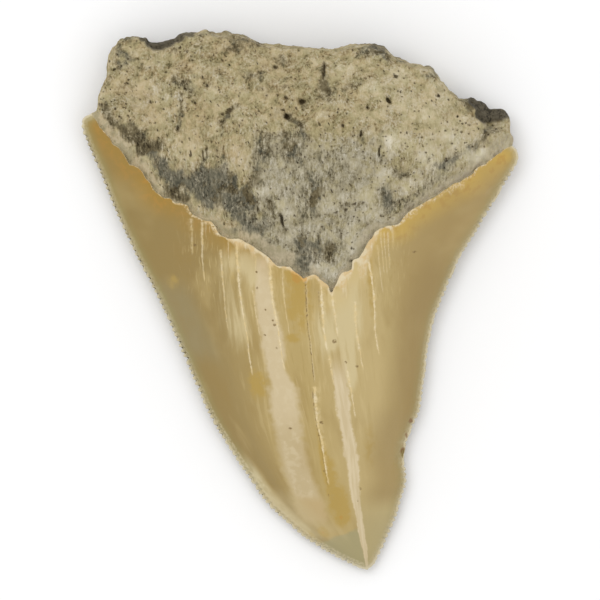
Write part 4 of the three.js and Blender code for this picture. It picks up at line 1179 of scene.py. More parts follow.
def tooth_skin(settings):
    """The whole closed surface: both faces of the crown, then the root's inner face, side and outer face."""
    skin = Skin()
    cuts = (
        CuttingEdge(settings, skin, LEFT, left_height, turn=1, seed=101),
        CuttingEdge(settings, skin, RIGHT, right_height, turn=-1, seed=111),
    )

    def pole(place, z, **traits):
        return skin.add(np.array([[*place, z]]), **traits)[0]

    tip = pole(LEFT[-1], TIP_HEIGHT, neck=FAR, growth=1)
    poles = (
        pole(LEFT[0], EDGE_HEIGHT, growth=growth(*LEFT[0])),
        pole(RIGHT[0], EDGE_HEIGHT, growth=growth(*RIGHT[0]), across=1),
    )
    width = np.linalg.norm(RIGHT[0] - LEFT[0])

    def across_places(distances, count):
        near = np.array(distances) / width
        return np.concatenate([near, np.linspace(near[-1], 1 - near[-1], count)[1:-1], 1 - near[::-1]])

    def across_row(s, place, height):
        x, y = place
        z, traits = height(x, y)
        return row_between(poles, s, skin.add(flat(x, y, z), **{**traits, "across": s, "neck": 0}))

    s = across_places(RIM_DISTANCES, ROOT_COLUMNS)
    neck_row = across_row(s, NECK.at(s).T, inner_enamel)
    crown_face(skin, cuts, tip, NECK, neck_row, inner_enamel, INNER_GRID, INNER_ENAMEL, True)
    under = across_places(UNDER_DISTANCES, UNDER_COLUMNS)
    under_row = across_row(under, UNDER_NECK.at(under).T, outer_enamel)
    crown_face(skin, cuts, tip, UNDER_NECK, under_row, outer_enamel, OUTER_GRID, OUTER_ENAMEL, False)
    rim_row, top = root_inner(skin, s, poles, neck_row)
    foot_row = root_side(skin, s, poles, rim_row, top)
    root_outer(skin, under, poles, foot_row, under_row)
    return skin


def unwrapped(points, traits, triangles, charts):
    """UV of each corner of each triangle. Both faces lie flat as seen, the outer one mirrored beside the
    inner one, and the root's side is a strip above them."""
    x, y = points[triangles][..., 0], points[triangles][..., 1]
    across_share = traits[triangles][..., TRAITS.index("across")]
    down_share = traits[triangles][..., TRAITS.index("down")]
    chart = charts[:, None]
    upper = (chart == INNER_ENAMEL) | (chart == INNER_ROOT)
    strip = chart == ROOT_SIDE
    (strip_x, strip_y), (strip_length, strip_width) = UV_STRIP
    strip_u = strip_x + strip_length * across_share
    u = np.where(upper, x + UV_INNER_X, np.where(strip, strip_u, UV_OUTER_X - x))
    v = np.where(strip, strip_y + strip_width * down_share, y + UV_FACE_Y)
    return np.stack([u, v], -1).reshape(-1, 2) / UV_SIDE


def write_mesh(name, skin, materials):
    """Puts the surface into a mesh, with its UV map and its traits as attributes."""
    points = np.vstack(skin.points)
    traits = np.vstack(skin.traits)
    triangles = np.vstack(skin.triangles)
    charts = np.concatenate(skin.charts)
    mesh = bpy.data.meshes.new(name)
    mesh.vertices.add(len(points))
    mesh.loops.add(triangles.size)
    mesh.polygons.add(len(triangles))
    mesh.vertices.foreach_set("co", (points * MM).ravel())
    mesh.loops.foreach_set("vertex_index", triangles.ravel())
    mesh.polygons.foreach_set("loop_start", np.arange(0, triangles.size, 3))
    for material in materials:
        mesh.materials.append(material)
    slot = np.where(charts == INNER_ENAMEL, 0, np.where(charts == OUTER_ENAMEL, 1, 2))
    mesh.polygons.foreach_set("material_index", slot)
    mesh.polygons.foreach_set("use_smooth", np.ones(len(triangles), bool))
    for column, trait in enumerate(TRAITS):
        attribute = mesh.attributes.new(trait, "FLOAT", "POINT")
        attribute.data.foreach_set("value", traits[:, column])
    uv = unwrapped(points, traits, triangles, charts)
    mesh.uv_layers.new(name="OFBake").data.foreach_set("uv", uv.ravel())
    mesh.update(calc_edges=True)
    piece = bpy.data.objects.new(name, mesh)
    bpy.context.scene.collection.objects.link(piece)
    return piece


def tint(red, green, blue, sheen=0.0):
    """The base colour that shows as this one, from 0 to 255, under the studio light and a gloss that adds an
    even share of white."""
    shown = np.array([red, green, blue]) / 255
    linear = np.where(shown <= 0.04045, shown / 12.92, ((shown + 0.055) / 1.055)**2.4)
    return (*np.clip(linear / STUDIO_LIGHT - sheen, 0.002, 1).tolist(), 1.0)


def glossy(red, green, blue):
    """The same for the enamel, whose gloss shows more of the white light."""
    return tint(red, green, blue, ENAMEL_SHEEN)


def dyed(shades, paint, chosen, main):
    """Shades in the user's colour: each times the chosen colour over the main one."""
    dye = np.array((*chosen, 1.0)) / main
    return [(np.array(paint(*shade)) * dye).tolist() for shade in shades]


MAIN_ENAMEL = glossy(176, 154, 102)
MAIN_ROOT = tint(179, 160, 118)

# Shades from 0 to 255, as they show. The enamel's go across its growth lines, from left to right.
ENAMEL_STOPS = (0, 0.1, 0.2, 0.29, 0.38, 0.5, 0.62, 0.76, 0.84, 0.89, 0.95, 1)
ENAMEL_SHADES = (
    (153, 131, 80), (157, 134, 84), (161, 139, 90), (176, 153, 101), (189, 166, 112), (186, 163, 108),
    (190, 168, 116), (198, 176, 124), (192, 170, 117), (177, 153, 101), (170, 145, 92), (173, 148, 96),
)
# The root's clean and stained shades go from the darkest of its grain to the palest
CLEAN_STOPS = (0.32, 0.4, 0.45, 0.5, 0.56, 0.64, 0.74)
CLEAN_SHADES = {
    "pinkish": (
        (84, 66, 36), (132, 111, 71), (160, 139, 97), (179, 160, 118), (193, 177, 139), (208, 196, 164),
        (226, 217, 194),
    ),
    "greenish": (
        (72, 63, 33), (118, 106, 67), (146, 133, 92), (164, 151, 110), (181, 169, 130), (199, 189, 156),
        (220, 213, 188),
    ),
    "chalky": (
        (66, 61, 43), (110, 101, 76), (137, 128, 101), (157, 148, 121), (176, 167, 141), (197, 189, 166),
        (222, 216, 198),
    ),
}
STAINED_STOPS = (0.34, 0.42, 0.49, 0.57, 0.66)
STAINED_SHADES = {
    "stained_brown": ((50, 42, 24), (78, 68, 44), (100, 89, 62), (132, 121, 92), (180, 168, 138)),
    "stained_grey": ((62, 60, 46), (88, 85, 69), (112, 107, 88), (148, 141, 120), (192, 183, 158)),
}

# Recipes: each row is a layer, the lowest first. It holds a shade, the name of one, or a recipe for one, and
# then the values that say where it lies, which are multiplied. Each gives its name, where it starts to count
# and where it counts in full, and perhaps the strength at both. Without those it counts as it is.
FIRST_BAND_SHADES = [
    ((214, 196, 160),),
    ((201, 182, 143), ("y", -14, -19)),
    ((222, 206, 172), ("spots", 0.45, 0.65, 0, 0.5)),
    ((194, 172, 128), ("cloud", 0.45, 0.3, 0, 0.5)),
    ((198, 174, 128), ("y", -25.5, -27.2)),
]
SECOND_BAND_SHADES = [((208, 189, 150),), ((222, 205, 170), ("fine", 0.38, 0.62, 0, 0.8))]
AMBER_SHADES = [
    ((166, 132, 62),),
    ((206, 171, 86), ("number", -6, 6)),
    ((186, 138, 62), ("spots", 0.5, 0.65, 0, 0.5)),
]
STREAK_SHADES = [((226, 202, 148),), ((234, 217, 178), ("spots", 0.4, 0.6))]
LIP_SHADES = [
    ((218, 190, 140),),
    ((228, 212, 176), ("spots", 0.4, 0.6)),
    ((218, 168, 92), ("warm", 0.5, 0.8, 0, 0.8)),
]
ENAMEL_LAYERS = [
    # Broad clouds, growth lines in the middle and finer ones above
    ((200, 178, 124), ("cloud", 0.5, 0.72, 0, 0.4)),
    ((158, 132, 78), ("cloud", 0.48, 0.3, 0, 0.4)),
    ((212, 191, 140), ("middle",), ("fine", 0.52, 0.7, 0, 0.5)),
    ((164, 140, 82), ("middle",), ("fine", 0.45, 0.3, 0, 0.35)),
    ((210, 188, 134), ("upper",), ("hair", 0.55, 0.7, 0, 0.4)),
    ((164, 140, 76), ("upper",), ("hair", 0.45, 0.32, 0, 0.3)),
    # Golden places with orange in their middle, and cream ones
    ((183, 154, 84), ("gold", 0.12, 0.5, 0, 0.85)),
    ((190, 146, 74), ("gold", 0.7, 1.1, 0, 0.8)),
    ((212, 195, 150), ("cream", 0.15, 0.5, 0, 0.8)),
    # The two pale bands, the clear tip, and amber along the border with the root
    (FIRST_BAND_SHADES, ("first",), ("y", -30.3, -29), ("y", 6.5, 5, 0, 0.85)),
    (SECOND_BAND_SHADES, ("second",), 0.95),
    ((168, 158, 118), ("clear",)),
    (AMBER_SHADES, ("neck", 3.6, 0.1), ("cloud", 0.34, 0.6, 0.45, 1), ("y", 4, 9, 0.3, 0.9)),
    # Greyer beside the left cutting edge, browner beside the right one, and green along both
    # Both darken towards the cutting edges: partly the enamel's own tone, partly painted shade where the face
    # slopes down to the edge
    ((155, 142, 105), ("left",), ("rim", 5.5, 3), ("y", 4, 0), ("y", -10, -6), ("cloud", 0.3, 0.6, 0.3, 0.7)),
    ((160, 136, 87), ("right",), ("rim", 6.5, 2.5, 0, 0.7), ("y", 8, 3), ("y", -28.5, -25.5)),
    ((160, 151, 103), ("rim", 1.8, 0.3), ("spots", 0.3, 0.6, 0.4, 0.75), ("y", -30, -22, 0.4, 1),
     ("left", 0, 1, 0.7, 1)),
    ((204, 190, 156), ("rim", 1, 0.2), ("flecks", 0.38, 0.6, 0.25, 0.7)),
    # A cream strip and a milky place beside the left edge, towards the tip
    ((212, 198, 157), ("left",), ("rim", 1.9, 1.1), ("rim", 0.25, 0.8), ("y", -19.5, -24.5),
     ("y", -32.5, -29.5), ("spots", 0.35, 0.6, 0.6, 0.95)),
    ((200, 182, 138), ("left",), ("rim", 4.2, 3), ("y", -24.5, -27), ("y", -33, -29.5),
     ("cloud", 0.35, 0.6, 0.3, 0.6)),
    # Painted light on the serrations: a painted highlight inside each, painted shade in the notches, and a
    # pale edge
    ((212, 198, 160), ("left",), ("rim", 0.95, 0.75), ("rim", 0.35, 0.5), ("notch", 0.45, 0.1),
     ("y", -8, -18, 0.1, 0.5), ("flecks", 0.4, 0.56)),
    ((140, 137, 98), ("notch", 0.25, 0.8, 0, 0.35), ("rim", 0.8, 0.3)),
    # The pale edge is partly the enamel's own colour and partly painted light, brighter to make up for the
    # shade where it slopes away
    ((222, 211, 178), ("rim", 0.45, 0.05, 0, 0.9)),
    # Streaks and specks, the lip under the root, and the chip's brown fresh faces
    (STREAK_SHADES, ("streaky",)),
    ((132, 108, 68), ("brown",)),
    (LIP_SHADES, ("lip_mark",)),
    ((134, 96, 58), ("dark", 0.25, 0.6, 0, 0.8)),
]
OUTER_LAYERS = [
    ((150, 132, 84),),
    ("main", ("broad", 0.3, 0.7)),
    ((200, 182, 134), ("fine", 0.5, 0.75, 0, 0.4)),
    ((176, 138, 64), ("neck", 3, 0.3), ("broad", 0.3, 0.6, 0.4, 0.9)),
    ((156, 146, 100), ("rim", 2, 0.2, 0, 0.5)),
    ((226, 206, 160), ("neck", 0.35, 0.1, 0, 0.7)),
]
LILAC_SHADES = [((156, 147, 131),), ((189, 179, 153), ("mottle", 0.42, 0.58))]
STRIP_SHADES = [
    ((162, 151, 123),),
    ((190, 174, 143), ("blotch", 0.4, 0.6)),
    (LILAC_SHADES, ("x", 4, 12, 0, 0.75)),
]
RUBBLE_SHADES = [((52, 47, 38),), ((98, 91, 75), ("texture", 0.42, 0.58))]
ROOT_LAYERS = [
    ("greenish",),
    ("pinkish", ("blotch", 0.42, 0.58)),
    ((190, 160, 117), ("warm",), ("mottle", 0.3, 0.6, 0.225, 0.45)),
    ("chalky", ("chalk", 0.05, 0.95)),
    (STRIP_SHADES, ("smooth",), ("grit", 0.38, 0.62, 0.4, 0.75)),
    # The stains, brown or grey, then specks, the broken layer, and pits darkened by dirt and painted shade
    ([("stained_grey",), ("stained_brown", ("brownish",))], ("stains", 0, 0.95)),
    ((92, 74, 44), ("specks",), 0.7),
    (RUBBLE_SHADES, ("broken",), 0.95),
    ((66, 52, 28), ("hollow",)),
]


class Nodes:
    """Short ways to put nodes into one tree."""

    def __init__(self, tree):
        self.tree = tree

    def add(self, kind, inputs=(), **settings):
        node = self.tree.nodes.new(kind)
        for name, value in settings.items():
            setattr(node, name, value)
        self.fill(node, inputs)
        return node

    def fill(self, node, inputs):
        for key, value in dict(inputs).items():
            socket = node.inputs[key]
            if isinstance(value, bpy.types.NodeSocket):
                self.tree.links.new(value, socket)
            else:
                socket.default_value = value

    def math(self, operation, *values):
        return self.add("ShaderNodeMath", enumerate(values), operation=operation).outputs[0]

    def sum(self, *values):
        total = values[0]
        for value in values[1:]:
            total = self.math("ADD", total, value)
        return total

    def product(self, *values):
        total = values[0]
        for value in values[1:]:
            total = self.math("MULTIPLY", total, value)
        return total

    def stronger(self, first, second):
        """The larger of two marks."""
        return self.math("MAXIMUM", first, second)

    def rest(self, share):
        """What a share leaves of 1."""
        return self.math("SUBTRACT", 1.0, share)

    def centred(self, value, size):
        """Noise from 0 to 1 as noise about 0, from half the size below it to half the size above."""
        return self.math("MULTIPLY_ADD", value, size, -size / 2)

    def stretched(self, value, factor, middle):
        """How far a value is from a half, times a factor, about another middle."""
        return self.math("MULTIPLY_ADD", self.math("ADD", value, -0.5), factor, middle)

    def ease(self, value, low, high, start=0.0, end=1.0):
        """Goes smoothly from start to end as the value goes from low to high."""
        inputs = {"Value": value, "From Min": low, "From Max": high, "To Min": start, "To Max": end}
        return self.add("ShaderNodeMapRange", inputs, interpolation_type="SMOOTHSTEP").outputs[0]

    def blend(self, share, first, second):
        """A number between two others."""
        return self.add("ShaderNodeMix", {0: share, 2: first, 3: second}).outputs[0]

    def mix(self, share, first, second):
        """A colour between two others."""
        return self.add("ShaderNodeMix", {0: share, 6: first, 7: second}, data_type="RGBA").outputs[2]

    def ramp(self, value, places, colours):
        """The colour at a value, between the colours at these places."""
        node = self.add("ShaderNodeValToRGB", {"Fac": value})
        elements = node.color_ramp.elements
        while len(elements) < len(places):
            elements.new(0.5)
        for element, place, colour in zip(elements, places, colours):
            element.position = place
            element.color = colour
        return node.outputs[0]

    def trait(self, name):
        """What the surface knows under that name."""
        return self.add("ShaderNodeAttribute", attribute_name=name).outputs["Fac"]

    def vector(self, x=0.0, y=0.0, z=0.0):
        return self.add("ShaderNodeCombineXYZ", {"X": x, "Y": y, "Z": z}).outputs[0]

    def axis(self, place, name):
        return self.add("ShaderNodeSeparateXYZ", {"Vector": place}).outputs[name]

    def scaled(self, place, scale):
        return self.add("ShaderNodeMapping", {"Vector": place, "Scale": scale}).outputs[0]

    def millimetres(self):
        """The place on the tooth, in millimetres."""
        return self.scaled(self.add("ShaderNodeTexCoord").outputs["Object"], (1 / MM,) * 3)

    def noise(self, place, scale, detail=2.0, roughness=0.55):
        inputs = {"Vector": place, "Scale": scale, "Detail": detail, "Roughness": roughness}
        return self.add("ShaderNodeTexNoise", inputs).outputs[0]

    def dots(self, place, scale):
        """Distance from the nearest of many dots."""
        return self.add("ShaderNodeTexVoronoi", {"Vector": place, "Scale": scale}).outputs["Distance"]

    def bump(self, height, distance, strength):
        inputs = {"Height": height, "Distance": distance, "Strength": strength}
        return self.add("ShaderNodeBump", inputs).outputs[0]


class Recipe:
    """Lays colours over one another by the tables above. A value that it isn't given is the surface's trait
    of that name."""

    def __init__(self, nodes, paint, **values):
        self.nodes = nodes
        self.paint = paint
        self.values = values

    def value(self, name):
        """The value of that name, or else the surface's trait."""
        if name not in self.values:
            self.values[name] = self.nodes.trait(name)
        return self.values[name]

    def counted(self, given):
        """How much one value counts: a number counts as itself."""
        if isinstance(given, float):
            return given
        name, *ends = given
        return self.nodes.ease(self.value(name), *ends) if ends else self.value(name)

    def where(self, *given):
        """The product of how much the values count."""
        return self.nodes.product(*(self.counted(one) for one in given))

    def total(self, *given):
        """The sum of how much they count."""
        return self.nodes.sum(*(self.counted(one) for one in given))

    def shade(self, given):
        """A shade by its name, by its own recipe or by its numbers."""
        if isinstance(given, str):
            return self.value(given)
        return self.layered(given) if isinstance(given, list) else self.paint(*given)

    def layered(self, layers, colour=None):
        """The layers over a colour. One that says no place lies everywhere."""
        for given, *places in layers:
            shade = self.shade(given)
            colour = self.nodes.mix(self.where(*places), colour, shade) if places else shade
        return colour


def steps(nodes, at, places, values):
    """The three values of the row whose place is nearest: a ramp that steps halfway between the places."""
    node = nodes.add("ShaderNodeValToRGB", {"Fac": at})
    node.color_ramp.interpolation = "CONSTANT"
    first, last = node.color_ramp.elements
    first.color = (*values[0], 1)
    last.color = (*values[-1], 1)
    for a, b, value in zip(places, places[1:], values[1:]):
        node.color_ramp.elements.new((a + b) / 2).color = (*value, 1)
    return nodes.add("ShaderNodeSeparateColor", {"Color": node.outputs[0]}).outputs


def layers(rows):
    """Streaks shared out so that in each layer their growth lines are far enough apart."""
    found = []
    for row in sorted(rows):
        layer = next((one for one in found if row[0] - one[-1][0] > STREAK_GAP), None)
        if layer is None:
            layer = []
            found.append(layer)
        layer.append(row)
    return found


def line_share(number):
    """A growth line's share of the way across the enamel."""
    return (number - FIRST_NUMBER) / NUMBER_SPAN


def y_share(y):
    """A Y's share of the way up the enamel."""
    return (y - LOWEST_Y) / Y_SPAN


def streaks(nodes, across_share, up_share, beads, rows):
    """The strongest mark of a list of streaks. Each is a bell across its growth line, with a faint halo twice
    as wide, between a top and a bottom. Beads make it wider and narrower, and it tapers to its bottom."""
    marks = 0.0
    for layer in layers(rows):
        places = [line_share(row[0]) for row in layer]
        shapes = [(line_share(line), half, strength) for line, half, _, _, strength in layer]
        ends = [(y_share(top), y_share(bottom), 0) for _, _, top, bottom, _ in layer]
        line, half, strength = steps(nodes, across_share, places, shapes)
        top, bottom, _ = steps(nodes, across_share, places, ends)
        half = nodes.product(half, beads, nodes.ease(up_share, bottom, top, 0.5, 1.1))
        off = nodes.math("ABSOLUTE", nodes.math("SUBTRACT", across_share, line))
        off = nodes.math("DIVIDE", nodes.product(off, NUMBER_SPAN), half)
        bell = nodes.stronger(nodes.ease(off, 1.5, 0.5), nodes.ease(off, 3.2, 0.8, 0.0, 0.3))
        above = nodes.ease(nodes.math("SUBTRACT", top, up_share), *STREAK_TOP)
        below = nodes.ease(nodes.math("SUBTRACT", up_share, bottom), *STREAK_BOTTOM)
        marks = nodes.stronger(marks, nodes.product(bell, above, below, strength))
    return marks


def specks(nodes, across_share, up_share, rows):
    """The mark of small round specks, each at its growth line and Y."""
    rows = sorted(rows)
    places = [y_share(y) for y, _, _ in rows]
    values = [(line_share(line), y_share(y), reach) for y, line, reach in rows]
    line, y, reach = steps(nodes, up_share, places, values)
    aside = nodes.product(nodes.math("SUBTRACT", across_share, line), NUMBER_SPAN)
    up = nodes.product(nodes.math("SUBTRACT", up_share, y), Y_SPAN)
    far = nodes.add("ShaderNodeVectorMath", {0: nodes.vector(aside, up)}, operation="LENGTH").outputs["Value"]
    return nodes.ease(nodes.math("DIVIDE", far, reach), 1.3, 0.6)


def new_material(name):
    """An empty material with its Nodes and its shader."""
    material = bpy.data.materials.new(name)
    material.use_nodes = True
    return material, Nodes(material.node_tree), material.node_tree.nodes["Principled BSDF"]


def growth_noise(nodes, number, y, across_scale, along_scale, detail=3.0):
    """Noise that runs along the growth lines."""
    place = nodes.vector(nodes.product(number, across_scale), nodes.product(y, along_scale))
    return nodes.noise(place, 1.0, detail)


def band_mark(nodes, band, jagged, softness):
    """How far a place is inside a pale band whose borders are jagged."""
    at = nodes.sum(nodes.math("ABSOLUTE", band), jagged)
    return nodes.ease(at, 1.0 + softness, 1.0 - softness)


def inner_enamel_material(settings):
    """Olive-tan fossil enamel: streaks and bands along the growth lines, amber along the root's border, green
    towards the cutting edges and a cream lip where the enamel has chipped off."""
    material, nodes, shader = new_material("streaked_enamel")
    place = nodes.millimetres()
    y = nodes.axis(place, "Y")
    wobble = nodes.centred(nodes.noise(place, 0.45, 3.0), 0.3)
    flutter = nodes.centred(nodes.noise(place, 1.4), 0.08)
    number = nodes.sum(nodes.trait("growth"), wobble, flutter)
    share = nodes.math("DIVIDE", nodes.math("ADD", number, -FIRST_NUMBER), NUMBER_SPAN)
    up_share = nodes.math("DIVIDE", nodes.math("ADD", y, -LOWEST_Y), Y_SPAN)
    fine = growth_noise(nodes, number, y, 1.6, 0.16)
    hair = growth_noise(nodes, number, y, 6.0, 0.5, 2.0)
    spots = nodes.noise(place, 0.9, 3.0)
    flecks = nodes.noise(place, 3.2, 3.0, 0.65)
    recipe = Recipe(
        nodes, glossy, y=y, number=number, fine=fine, hair=hair, spots=spots, flecks=flecks,
        cloud=growth_noise(nodes, number, y, 0.2, 0.1), beads=nodes.noise(place, 1.3, 2.0, 0.6),
        left=nodes.ease(number, 2.0, 0.0), off_middle=nodes.math("ABSOLUTE", number),
        off_notch=nodes.math("ABSOLUTE", nodes.sum(number, -1.0)))
    values = recipe.values
    values["right"] = nodes.rest(values["left"])
    values["middle"] = recipe.where(("off_middle", 12, 5), ("y", -24, -10, 0.15, 1))
    values["upper"] = recipe.where(("y", -5, 3), ("off_middle", 15, 12.5))
    values["gold"] = recipe.where(("warm",), ("spots", 0.3, 0.65, 0.65, 1.25))
    values["cream"] = recipe.where(("pale",), ("fine", 0.35, 0.62, 0.75, 1.15))

    # The first band is cloudy, and the second one has crisp borders
    cloudy = nodes.centred(spots, 1.6)
    jagged = nodes.sum(nodes.product(cloudy, 0.7), nodes.centred(flecks, 0.5))
    second_band = recipe.value("second_band")
    values["first"] = band_mark(nodes, recipe.value("first_band"), nodes.product(cloudy, 0.6), 0.34)
    values["second"] = nodes.product(band_mark(nodes, second_band, jagged, 0.24), nodes.ease(y, -6.5, -11.5))

    # Greyer and clearer at the very tip, with a sharp start on the left of the second band
    past = nodes.sum(nodes.trait("tip"), nodes.centred(spots, 0.8))
    sharp = nodes.ease(past, 0.0, 0.5, 0.0, 0.9)
    gradual = nodes.ease(past, -6.0, 2.0, 0.0, 0.5)
    clear = nodes.blend(nodes.ease(second_band, -0.5, 0.5), sharp, gradual)
    values["clear"] = nodes.product(clear, nodes.rest(values["second"]))

    knobs = recipe.where(("beads", 0.36, 0.62, 0.5, 1.2))
    cream_streaks = streaks(nodes, share, up_share, knobs, CREAM_STREAKS)
    streaky = nodes.product(cream_streaks, nodes.ease(flecks, 0.34, 0.48, 0.3, 0.9))
    brown_streaks = streaks(nodes, share, up_share, knobs, BROWN_STREAKS)
    brown = nodes.stronger(brown_streaks, specks(nodes, share, up_share, SPECKS))
    brown = nodes.product(brown, nodes.ease(flecks, 0.42, 0.56, 0.08, 0.9))

    # The lip is wide beside the deep notch, and only bits of one are left at the sides
    bits = nodes.sum(flecks, recipe.where(("off_notch", 14, 9, 0, 0.2)))
    lip = nodes.ease(nodes.sum(nodes.trait("lip"), nodes.centred(hair, 1.6)), 1.7, 0.4)
    lip = nodes.product(lip, nodes.ease(bits, 0.45, 0.6, 0.1, 0.95))
    values.update(streaky=streaky, brown=brown, lip_mark=lip)

    shades = dyed(ENAMEL_SHADES, glossy, settings.enamel_colour, MAIN_ENAMEL)
    relief = nodes.sum(
        nodes.product(fine, 0.6), nodes.product(hair, 0.3), nodes.product(streaky, 0.8),
        nodes.product(brown, -1.0), nodes.product(spots, 0.5), nodes.product(lip, 0.5))
    nodes.fill(shader, {
        "Base Color": recipe.layered(ENAMEL_LAYERS, nodes.ramp(share, ENAMEL_STOPS, shades)),
        "Roughness": nodes.ease(fine, 0.3, 0.7, 0.36, 0.48),
        "Normal": nodes.bump(relief, ENAMEL_RELIEF * MM, 0.8),
    })
    return material


def outer_enamel_material(settings):
    """The hidden outer face: the same enamel, greener and with only fine growth lines."""
    material, nodes, shader = new_material("outer_enamel")
    y = nodes.axis(nodes.millimetres(), "Y")
    number = nodes.trait("growth")
    fine = growth_noise(nodes, number, y, 2.0, 0.1)
    broad = growth_noise(nodes, number, y, 0.3, 0.04)
    recipe = Recipe(nodes, glossy, main=(*settings.enamel_colour, 1.0), broad=broad, fine=fine)
    nodes.fill(shader, {
        "Base Color": recipe.layered(OUTER_LAYERS),
        "Roughness": nodes.ease(fine, 0.3, 0.7, 0.36, 0.5),
        "Normal": nodes.bump(fine, ENAMEL_RELIEF * MM, 0.8),
    })
    return material


def root_material(settings):
    """Porous bone-like root: beige and pinkish tan, stained brown and dark grey, with threads and fibres that
    run up and down its lower half, dark pits and pores, a smooth pale strip along the enamel and a dark grey
    broken layer. Its grain is one texture, which every ramp of shades reads."""
    material, nodes, shader = new_material("porous_root")
    place = nodes.millimetres()
    blotch = nodes.noise(place, 0.8, 3.0, 0.6)
    mottle = nodes.noise(place, 1.1, 4.0, 0.6)
    grains = nodes.noise(nodes.scaled(place, (3.7, 2.6, 3.0)), 1.0, 3.0, 0.75)
    threads = nodes.noise(nodes.scaled(place, (3.9, 1.1, 3.0)), 1.0, 3.0, 0.75)
    fibre = nodes.noise(nodes.scaled(place, (2.2, 0.6, 1.6)), 1.0, 4.0, 0.65)
    recipe = Recipe(
        nodes, tint, x=nodes.axis(place, "X"), y=nodes.axis(place, "Y"), blotch=blotch, mottle=mottle,
        cloud=nodes.noise(place, 0.3, 4.0, 0.6), patches=nodes.noise(place, 0.5, 3.0, 0.6),
        dots=nodes.dots(place, 1.5))
    values = recipe.values
    lower = recipe.where(("y", 27, 19, 0.15, 0.75))
    grit = nodes.blend(nodes.product(lower, 0.75), grains, threads)
    grit = nodes.stretched(grit, nodes.ease(lower, 0.15, 0.5, 1.0, 1.2), 0.5)
    coarse = nodes.blend(lower, mottle, fibre)
    dark = recipe.value("dark")
    cool = recipe.value("grey")
    both = nodes.sum(dark, cool)
    values.update(
        grit=grit, coarse=coarse, both=both, hug=nodes.sum(nodes.trait("strip"), nodes.centred(mottle, 1.6)))
    values["smooth"] = recipe.where(("hug", 0.25, 0.8), ("both", 1.1, 0.3, 0.3, 1))

    contrast = recipe.where(
        ("patches", 0.38, 0.62, 0.5, 1.3), ("smooth", 0.2, 0.9, 1, 0.7), ("pale", 0.1, 0.7, 1, 0.6),
        ("both", 0.1, 0.5, 1, 1.1))
    texture = nodes.sum(nodes.product(coarse, 0.42), nodes.product(grit, 0.62), -0.02)
    texture = nodes.sum(
        nodes.stretched(texture, contrast, 0.533), nodes.product(both, -0.03),
        nodes.product(recipe.value("pale"), 0.1),
        recipe.total(("cloud", 0.3, 0.7, -0.03, 0.025), ("blotch", 0.3, 0.7, -0.02, 0.02)))
    values["texture"] = texture
    for name, shades in CLEAN_SHADES.items():
        shades = dyed(shades, tint, settings.root_colour, MAIN_ROOT)
        values[name] = nodes.ramp(texture, CLEAN_STOPS, shades)
    for name, shades in STAINED_SHADES.items():
        values[name] = nodes.ramp(texture, STAINED_STOPS, [tint(*shade) for shade in shades])

    chalk = recipe.where(("x", -9, -4), ("y", 24, 19), ("x", 16, 6, 0.4, 1), 0.75)
    values["chalk"] = nodes.sum(
        chalk, nodes.product(both, 0.3), recipe.counted(("blotch", 0.3, 0.7, -0.35, 0.35)))
    brownish = nodes.math("SUBTRACT", dark, nodes.product(cool, 0.8))
    brownish = nodes.sum(brownish, recipe.counted(("blotch", 0.38, 0.62, -0.7, 0.7)))
    values["brownish"] = nodes.ease(brownish, -0.5, 0.5)
    values["stains"] = recipe.total(
        ("both",), ("coarse", 0.35, 0.65, 0.22, -0.22), ("grit", 0.35, 0.65, 0.08, -0.08),
        ("cloud", 0.35, 0.7, 0.08, -0.08))
    spots = recipe.where(("dots", 0.24, 0.12), ("mottle", 0.52, 0.42))
    spots = nodes.product(spots, nodes.rest(values["smooth"]))
    # Darkens the pits and the lowest grain: partly dirt in them, partly painted shade in these hollows
    hollow = nodes.ease(recipe.total(("pit",), ("grit", 0.35, 0.65, -0.25, 0.25)), 0.25, 0.85, 0.0, 0.85)
    values.update(specks=spots, hollow=hollow)

    relief = nodes.sum(nodes.product(texture, 3.0), nodes.product(spots, -0.8), nodes.product(hollow, -0.5))
    relief = nodes.product(nodes.sum(relief, -1.5), recipe.where(("smooth", 0, 0.8, 1, 0.6)))
    nodes.fill(shader, {
        "Base Color": recipe.layered(ROOT_LAYERS),
        "Roughness": nodes.ease(grit, 0.3, 0.7, 0.75, 0.92),
        "Specular IOR Level": ROOT_GLOSS,
        "Normal": nodes.bump(relief, ROOT_RELIEF * MM, 1.0),
    })
    return material


def floor_material(settings):
    """Plain matt near-white paper."""
    material, nodes, shader = new_material("pale_floor")
    nodes.fill(shader, {
        "Base Color": (*settings.floor_colour, 1.0), "Roughness": 0.9, "Specular IOR Level": 0.1,
    })
    return material


class ToothSettings(bpy.types.PropertyGroup):
    """Sizes and colours of the tooth."""

    serration_pitch: FloatProperty(
        name="Serration Pitch", description="From one serration of the cutting edge to the next",
        default=0.8 * MM, unit="LENGTH")
    serration_depth: FloatProperty(
        name="Serration Depth", description="How deep the notches between the serrations are",
        default=0.36 * MM, unit="LENGTH")
    enamel_colour: FloatVectorProperty(
        name="Enamel", description="Main colour of the enamel", subtype="COLOR", size=3, min=0, max=1,
        default=MAIN_ENAMEL[:3])
    root_colour: FloatVectorProperty(
        name="Root", description="Main colour of the root", subtype="COLOR", size=3, min=0, max=1,
        default=MAIN_ROOT[:3])


class StageSettings(bpy.types.PropertyGroup):
    """The floor, the light and the camera."""

    floor_colour: FloatVectorProperty(
        name="Floor", description="Colour of the floor", subtype="COLOR", size=3, min=0, max=1,
        default=(0.94, 0.94, 0.94))
    camera_height: FloatProperty(
        name="Camera Height", description="Height of the camera over the floor", default=2.2, unit="LENGTH")
    seen_width: FloatProperty(
        name="Seen Width", description="How wide a part of the floor the picture shows", default=0.0801,
        unit="LENGTH")
    sky_strength: FloatProperty(
        name="Sky", description="Strength of the even light all round", default=0.86)
    key_power: FloatProperty(
        name="Key Light", description="Power of the main light", default=0.85, unit="POWER")
    fill_power: FloatProperty(
        name="Fill Light", description="Power of the second light", default=0.3, unit="POWER")


